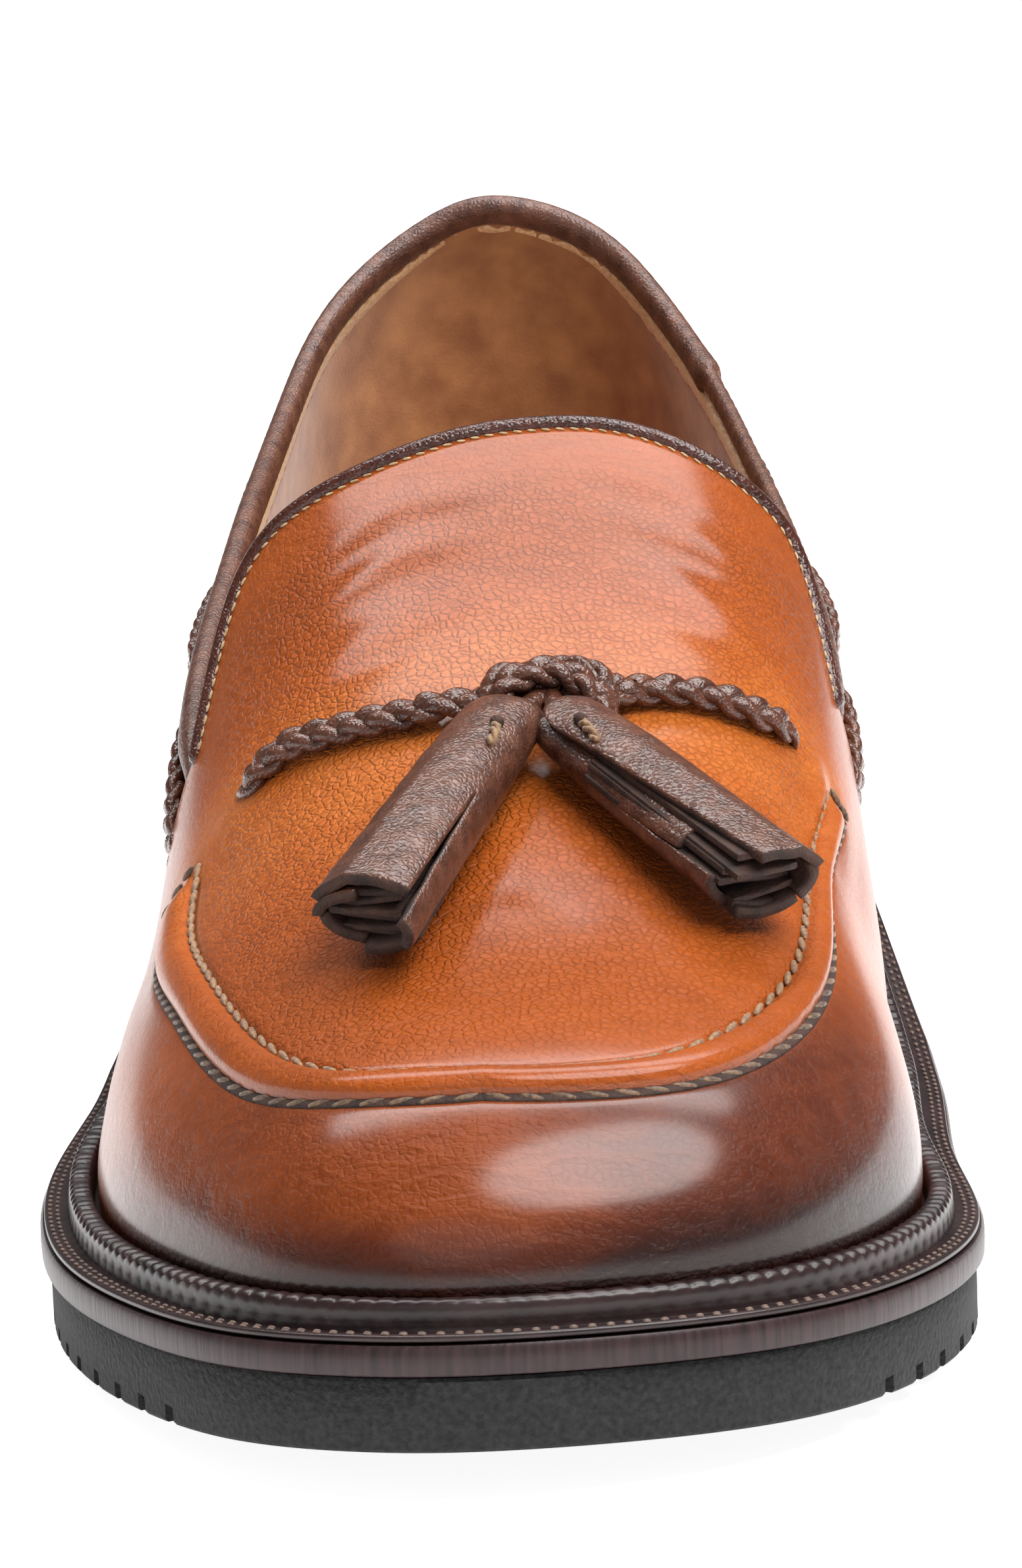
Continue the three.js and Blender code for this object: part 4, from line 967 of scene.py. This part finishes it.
def buildLiningEdge():  # the raw strip of suede turned up behind the binding
    ahead = np.linspace(0.02, 0.47, 160)
    points, normals, down = rimPath([rimEdges(-1, ahead[::-1], False), rimEdges(1, ahead, False)])
    inside = points + down * (trim["binding"] + 1.2) - normals * (trim["wall"] + 0.15)
    step = np.arange(420)
    path = resample(np.concatenate([inside, normals], axis=1), len(step))
    frayed = 3.2 + 0.8 * np.sin(step * 1.7 + 3 * np.sin(step * 0.31))
    fade = smoothStep(np.minimum(step, step[::-1]) / 60)
    bm = bmesh.new()
    addGrid(bm, tubeRings(path[:, :3], path[:, 3:], frayed * (0.3 + 0.7 * fade), 0.4 + 0.5 * fade, 10, 3))
    return finishPiece("liningEdge", bm, [rawEdge], merge=1e-6)


def pipingRim():
    inner = rimEdges(1, np.linspace(tongueTable[1][0][0], 1, 120), True)
    outer = rimEdges(-1, np.linspace(1, tongueTable[-1][0][0], 120)[1:], True)
    return rimPath([inner, outer])


def buildPiping():
    points, normals, down = pipingRim()
    centre = points + down * trim["piping"] / 2 - normals * 0.45
    path = resample(np.concatenate([centre, normals], axis=1), 260)
    bm = bmesh.new()
    addGrid(bm, tubeRings(path[:, :3], path[:, 3:], trim["piping"] + 0.15, trim["piping"] + 0.5, 12))
    return finishPiece("tonguePiping", bm, [pipingCalf], ["tongue_piping"], merge=1e-6)


buildBinding()
buildLiningEdge()
buildPiping()
print("rim trimmed")

laceSet = dict(barSteps=220, sideSteps=420, pitch=11.4, strandWide=2.9, strandTall=1.75, swing=1.12, dive=0.6)


def plait(bm, points, normals, startShare=0.0, flat=1.0):  # three strands over and under each other
    run, side, lift = pathFrames(points, normals)
    at = np.concatenate([[0], np.cumsum(np.linalg.norm(np.diff(points, axis=0), axis=1))])
    flat = np.broadcast_to(np.asarray(flat, float), at.shape)
    for strand in range(3):
        phase = 2 * np.pi * (at / laceSet["pitch"] + strand / 3 + startShare)
        centre = (points + side * (laceSet["swing"] * np.sin(phase))[:, None]
                  + lift * (laceSet["dive"] * flat * np.sin(2 * phase))[:, None])
        wide = laceSet["strandWide"] * (0.86 + 0.14 * np.cos(phase * 2 + 0.6))
        addGrid(bm, tubeRings(centre, lift, wide, laceSet["strandTall"] * flat, 10, 2.3, 2))


def lacePath(side, places, count):  # places are (row, share up, lift)
    points, normals = onLastRow(side, *np.array(places, float).T)
    fine = smoothPath(np.concatenate([points, normals], axis=1), count)
    return fine[:, :3], unit(fine[:, 3:])


laceInner = [(0.5385, 0.535, -1.3), (0.5455, 0.56, 0.6), (0.55, 0.632, 1.75), (0.556, 0.692, 1.8),
             (0.563, 0.765, 1.8), (0.569, 0.836, 2.0), (0.5725, 0.92, 2.6)]
laceOuter = [(0.572, 0.93, 2.6), (0.566, 0.856, 1.9), (0.562, 0.796, 1.8), (0.559, 0.729, 1.8),
             (0.557, 0.667, 1.75), (0.552, 0.603, 1.3), (0.5475, 0.57, 0.3), (0.543, 0.545, -1.3)]
innerPart = lacePath(1, laceInner, 60)
outerPart = lacePath(-1, laceOuter, 60)
barPath = smoothPath(np.concatenate([np.concatenate(innerPart, axis=1)[::6],
                                     np.concatenate(outerPart, axis=1)[2::6]]), laceSet["barSteps"])
barBm = bmesh.new()
barStep = np.arange(laceSet["barSteps"])
barEnds = np.minimum(barStep, barStep[::-1]) / laceSet["barSteps"]
plait(barBm, barPath[:, :3], unit(barPath[:, 3:]), flat=0.55 + 0.45 * smoothStep(barEnds / 0.07))
barPiece = finishPiece("laceBars", barBm, [darkLace], ["lace_front_inner", "lace_front_outer"],
                       merge=1e-6)

sideLaces = {  # the three stretches out of their slits, and between them inside the wall
    1: [(0.517, 0.262, -2.4), (0.504, 0.262, -1.5), (0.488, 0.262, -0.2), (0.465, 0.258, 0.2),
        (0.443, 0.25, 0.0), (0.434, 0.248, -1.0), (0.43, 0.246, -1.0), (0.42, 0.241, 0.2), (0.4, 0.233, 1.1),
        (0.37, 0.222, 1.2), (0.348, 0.217, 0.2), (0.339, 0.22, -1.0), (0.328, 0.228, -1.0),
        (0.316, 0.235, 0.2), (0.28, 0.245, 1.2), (0.245, 0.258, 1.2), (0.212, 0.273, 0.2),
        (0.2, 0.278, -1.0)],
    -1: [(0.515, 0.25, -2.4), (0.502, 0.25, -1.5), (0.486, 0.25, -0.2), (0.465, 0.242, 0.2),
         (0.443, 0.23, 0.0), (0.434, 0.227, -1.0), (0.43, 0.225, -1.0), (0.42, 0.221, 0.2), (0.4, 0.213, 1.1),
         (0.37, 0.207, 1.2), (0.348, 0.205, 0.2), (0.339, 0.21, -1.0), (0.328, 0.22, -1.0),
         (0.316, 0.23, 0.2), (0.28, 0.238, 1.2), (0.245, 0.25, 1.2), (0.212, 0.265, 0.2),
         (0.2, 0.27, -1.0)],
}
for side, places in sideLaces.items():
    sideName = "inner" if side > 0 else "outer"
    bm = bmesh.new()
    points, normals = lacePath(side, places, laceSet["sideSteps"])
    share = np.linspace(0, len(places) - 1, laceSet["sideSteps"])
    lifts = np.interp(share, np.arange(len(places)), [place[2] for place in places])
    plait(bm, points, normals, flat=0.5 + 0.5 * smoothStep((lifts + 0.8) / 1.2))
    piece = finishPiece("sideLace_" + sideName, bm, [darkLace],
                        [f"lace_side_{part}_{sideName}" for part in ("front", "middle", "back")],
                        merge=1e-6)
print("laces plaited")

knotSet = dict(row=0.573, up=0.985, lift=3.66)
knotStrands = [  # right, up the shoe and out of it, in mm from the middle of the knot
    [(-6.6, -3.0, -0.6), (-4.0, -0.6, 1.0), (0.2, 0.4, 1.7), (4.0, -0.9, 1.1), (6.8, -3.4, -0.8)],
    [(-1.8, 0.2, -1.2), (-0.2, 2.7, 0.0), (3.2, 3.2, 0.6), (6.3, 1.4, 0.3), (6.2, -2.2, -1.0)],
    [(-7.2, -0.4, -1.4), (-5.7, 1.5, -0.4), (-2.8, 1.6, 0.1), (-0.4, 0.0, -0.9)],
]


coreSet = dict(strips=7, lowest=-3.3, step=1.05, radius=5.3, tall=0.95, shift=2.2, sag=0.7)
tasselSet = dict(width=13.0, sheet=1.25, rows=56, topLift=4.8, endLift=6.6, tail=2.6, hole=1.7)
# Each slit: share round the sheet, share along where it starts, its width at the end, the strip's length
tasselPlaces = {
    "inner": dict(side=1, top=(0.603, 0.955), end=(0.745, 0.787), flapAngle=158, turn=415, skew=0,
                  length=45.5, tuck=3.4, stitch=(0.24, 0.23),
                  slits=[(0, 0.6, 0, 0.95), (0.3, 0.47, 1.5, 1.05), (0.45, 0.75, 0.5, 0.97),
                         (0.62, 0.75, 0.5, 0.94), (0.8, 0.8, 0.4, 0.96)]),
    "outer": dict(side=-1, top=(0.605, 0.945), end=(0.685, 0.7), flapAngle=132, turn=395, skew=44,
                  length=41.0, tuck=3.2, stitch=(0.055, 0.22),
                  slits=[(0, 0.6, 0, 0.985), (0.22, 0.75, 0.5, 0.96), (0.4, 0.75, 0.5, 0.95),
                         (0.6, 0.75, 0.5, 0.9), (0.78, 0.5, 0.8, 0.74)]),
}


def tasselFrame(item):
    tops, ends = [item["side"] * item[key][0] * halfTurns for key in ("top", "end")]
    start = offLast(tops, item["top"][1], tasselSet["topLift"])
    end = offLast(ends, item["end"][1], tasselSet["endLift"])
    up = unit(lastNormal(tops, item["top"][1]) + lastNormal(ends, item["end"][1]))
    axis = unit(end - start)
    side = unit(np.cross(up, axis))
    return start - axis * item["tuck"], side, unit(np.cross(axis, side)), axis, item["length"] + item["tuck"]


def tasselRadius(along):
    wide = np.interp(along, [0, 0.05, 0.2, 0.45, 0.75, 1], [0.86, 0.9, 0.94, 1.0, 1.08, 1.18])
    tall = np.interp(along, [0, 0.1, 0.3, 0.6, 1], [0.55, 0.66, 0.78, 0.8, 0.8])
    return wide * tasselSet["width"] / 2, tall * tasselSet["width"] / 2


def tasselPoint(place, angle, along, inset):
    start, side, lift, axis, length = place
    wide, tall = tasselRadius(along)
    wide, tall = wide - inset, tall - inset
    return (start + side * (wide * np.cos(angle))[..., None] + lift * (tall * np.sin(angle))[..., None]
            + axis * (along * length)[..., None])


def buildTassel(name, item):
    place = tasselFrame(item)
    bm = bmesh.new()
    slits = item["slits"] + [(1, 0.6, 0, 0)]
    t = np.linspace(0, 1, tasselSet["rows"] + 1)[:, None]
    for index in range(len(slits) - 1):
        fromShare, opensAt, gap, length = slits[index]
        toShare, nextOpens, nextGap, _ = slits[index + 1]
        columns = max(4, round((toShare - fromShare) * 84))
        c = np.linspace(0, 1, columns + 1)[None, :]
        along = np.where(t < 0.5, 0.94 * t, 0.47 + (length - 0.47) * (t - 0.5) / 0.5) + 0 * c
        radius = tasselSet["width"] / 2
        turnLength = math.radians(item["turn"]) * radius
        left = gap / 2 * np.clip((along - opensAt) / (1 - opensAt), 0, 1) / turnLength
        right = nextGap / 2 * np.clip((along - nextOpens) / (1 - nextOpens), 0, 1) / turnLength
        share = fromShare + left + (toShare - fromShare - left - right) * c
        # rounded corner of the flap at the top
        corner = np.clip(1 - share / 0.12, 0, 1)
        along = along + 0.14 * (1 - np.sqrt(1 - corner ** 2 * 0.98)) * (1 - along) ** 2
        angle = np.radians(item["flapAngle"] + item["skew"] * (0.5 - along) - item["turn"] * share)
        inset = 1.75 * smoothStep((share - 0.72) / 0.28) - 0.2 * smoothStep((0.1 - share) / 0.1)
        lean = [0, 0.2, -0.15, 0.2, -0.1][index]
        inset = inset + lean * smoothStep((along - 0.6) / 0.4)
        ripple = 0.1 * np.sin(along * 46 + 3 * np.sin(angle * 2)) * np.sin(angle * 3 + 1) ** 2
        ridge = 0.28 * np.exp(-((share - 0.12) / 0.02) ** 2) * smoothStep((along - 0.25) / 0.3)
        addGrid(bm, tasselPoint(place, angle, along, inset + ripple - ridge + 0.6))
    sheet = finishPiece("tasselSheet_" + name, bm, [tasselCalf, cutEdgeAndShade], ["tassel_" + name],
                        merge=2e-5)
    # The sheet's inner face and cut rims take the near-black raw-edge material: dark cut edges, and painted shade
    # inside the roll
    thick = sheet.modifiers.new("sheet", "SOLIDIFY")
    thick.thickness = tasselSet["sheet"] / 1000
    thick.offset = -1
    thick.material_offset = 1
    thick.material_offset_rim = 1
    start, side, lift, axis, length = place
    rng = np.random.default_rng(7 + item["side"])
    core = bmesh.new()
    # The core strips take the near-black raw-edge material: painted shade of the tassel's hollow
    for i in range(coreSet["strips"]):  # the core's cut strips, lying one on the other
        level = coreSet["lowest"] + coreSet["step"] * i
        wide = 2 * math.sqrt(coreSet["radius"] ** 2 - level ** 2) * (0.72 + 0.2 * rng.random())
        shift = (rng.random() - 0.5) * coreSet["shift"]
        reach = np.linspace(0.3, 0.9 + 0.08 * rng.random(), 18)
        sag = coreSet["sag"] * (rng.random() - 0.5) * (reach / reach[-1]) ** 3
        points = (start + side * shift + axis * (reach * length)[:, None]
                  + lift * (level * (0.7 + 0.3 * reach) + sag)[:, None])
        flatSide = unit(lift + side * 0.35 * (rng.random() - 0.5))
        addGrid(core, tubeRings(points, np.broadcast_to(flatSide, points.shape), wide, coreSet["tall"], 16, 7, 1))
    share, along = item["stitch"]
    angle = math.radians(item["flapAngle"] + item["skew"] * (0.5 - along) - item["turn"] * share)
    middle = tasselPoint(place, np.array(angle), np.array(along), -0.1)
    outwards = unit(side * math.cos(angle) + lift * math.sin(angle))
    way = unit(axis + 0.2 * side * item["side"])
    # A dark ball just under the flap marks the stitch hole: painted shade of the hole
    hole = bmesh.ops.create_uvsphere(core, u_segments=12, v_segments=8,
                                     radius=tasselSet["hole"] / 2000)["verts"]
    bmesh.ops.translate(core, verts=hole, vec=inMetres(middle - way * 2.5 - outwards * 0.3))
    finishPiece("tasselCore_" + name, core, [cutEdgeAndShade], sharp=50, merge=1e-6)
    stitch = bmesh.new()  # waxed holding stitch through the flap
    for ply in (0, 1):
        reach = np.linspace(-2.4, 2.4, 24)
        phase = reach * 1.9 + ply * math.pi
        cross = np.cross(way, outwards)
        points = (middle + way * reach[:, None] + cross * (0.3 * np.cos(phase))[:, None]
                  + outwards * (0.3 * np.sin(phase) - 0.12 * reach ** 2)[:, None])
        addGrid(stitch, tubeRings(points, np.broadcast_to(outwards, points.shape), 0.75, 0.75, 8, 2, 2))
    finishPiece("tasselStitch_" + name, stitch, [beigeThread], merge=1e-6)


for name, item in tasselPlaces.items():
    buildTassel(name, item)


def buildKnot():
    turn = -knotSet["row"] * halfTurns
    centre = offLast(turn, knotSet["up"], knotSet["lift"])
    outwards = lastNormal(turn, 0.9)
    right = unit(np.cross(np.array([0, 1.0, 0]), outwards))
    upwards = np.cross(outwards, right)
    bm = bmesh.new()
    for i, strand in enumerate(knotStrands):
        local = smoothPath(strand, 60)
        path = centre + local[:, :1] * right + local[:, 1:2] * upwards + local[:, 2:] * outwards
        bow = unit(path - centre + outwards * 5.0)
        plait(bm, path, bow, 0.2 * i)
    for item in tasselPlaces.values():  # the lace's two tails, on into the tassels
        start, side, lift, axis, length = tasselFrame(item)
        tail = smoothPath([centre - outwards * 0.6, (centre + start) / 2 - outwards * 0.8, start + axis,
                           start + axis * 6], 30)
        addGrid(bm, tubeRings(tail, np.broadcast_to(outwards, tail.shape), tasselSet["tail"], 2.2, 10))
    return finishPiece("laceKnot", bm, [darkLace], ["knot"], merge=1e-6)


knotPiece = buildKnot()
print("tassels rolled")


# Stitches of each seam: pitch, length, width and height in mm, and slant
stitchSet = dict(apronInner=(3.3, 3.3, 0.85, 0.8, 0.2), apronOuter=(3.4, 3.15, 0.9, 0.85, -0.3),
                 apronEnd=(2.4, 2.6, 0.8, 0.8, 0.2), piping=(1.8, 1.2, 0.36, 0.36, 0.3),
                 welt=(1.95, 0.95, 0.55, 0.45, 0))


def sewRow(bm, points, normals, seam, hand=1):  # small oval stitches along a path
    pitch, length, width, tall, slant = stitchSet[seam]
    count = max(2, round(pathLength(points) / pitch))
    path = resample(np.concatenate([points, normals], axis=1), 2 * count + 1)[1::2]
    run, side, lift = pathFrames(path[:, :3], unit(path[:, 3:]))
    way = unit(run + side * (slant * hand))
    over = np.cross(way, lift)
    seed = bmesh.new()
    bmesh.ops.create_uvsphere(seed, u_segments=6, v_segments=5, radius=0.0005)
    stitch = bpy.data.meshes.new("stitch")
    for place, along, across, out in zip(inMetres(path[:, :3]), way, over, lift):
        columns = [Vector(across * width), Vector(out * tall), Vector(along * length)]
        shape = Matrix(columns).transposed().to_4x4()
        shape.translation = place
        copy = seed.copy()
        copy.transform(shape)
        copy.to_mesh(stitch)
        copy.free()
        bm.from_mesh(stitch)
    seed.free()
    bpy.data.meshes.remove(stitch)


def sewApron():
    inner, outer, edge = bmesh.new(), bmesh.new(), bmesh.new()
    for side in (1, -1):
        start = trim["apronStart"] + 0.004
        rows = np.linspace(start, 1, 260)
        wide = rollCurve[side](rows) - seamCurve[side](rows)
        points, normals = onLastRow(side, rows, rollCurve[side](rows) + 0.03 * wide, 0.05)
        sewRow(inner, points, normals, "apronInner", side)
        points, normals = onLastRow(side, rows, seamCurve[side](rows) - 0.04 * wide, -0.02)
        sewRow(outer, points, normals, "apronOuter", side)
        # A dark strip along the outer seam: partly the apron's raw edge, partly painted shade in the seam's
        # groove
        addGrid(edge, tubeRings(points - normals * 0.12, normals, 1.5, 0.7, 8))
        ups = np.linspace(seamCurve[side](start + 0.001), rollCurve[side](start + 0.001), 30)
        points, normals = onLastRow(side, np.full(30, start), ups, 0.5)
        sewRow(outer, points, normals, "apronEnd")
    finishPiece("apronInnerStitch", inner, [beigeThread], merge=1e-7)
    finishPiece("apronOuterStitch", outer, [seamThread], merge=1e-7)
    finishPiece("apronSeamGrooveShade", edge, [cutEdgeAndShade], merge=1e-7)


def sewPiping():
    bm = bmesh.new()
    points, normals, down = pipingRim()
    sewRow(bm, points + normals * 0.08 + down * (trim["piping"] + 0.35), normals, "piping")
    finishPiece("pipingStitch", bm, [creamThread], merge=1e-7)


def sewWelt():
    bm = bmesh.new()
    turns = np.linspace(0, featherCount, 900)
    margin = edgeMargin(turns)
    for share in (0.7, 0.82):
        flat = offsetFeather(turns, margin * share)
        points = raised(flat, groundAt(flat[:, 1]) + flangeTop + 0.05)
        normals = np.broadcast_to(np.array([0, 0, 1.0]), points.shape)
        sewRow(bm, points, normals, "welt")
    finishPiece("weltStitch", bm, [weltThread], merge=1e-7)


sewApron()
sewPiping()
sewWelt()
print("seams sewn")
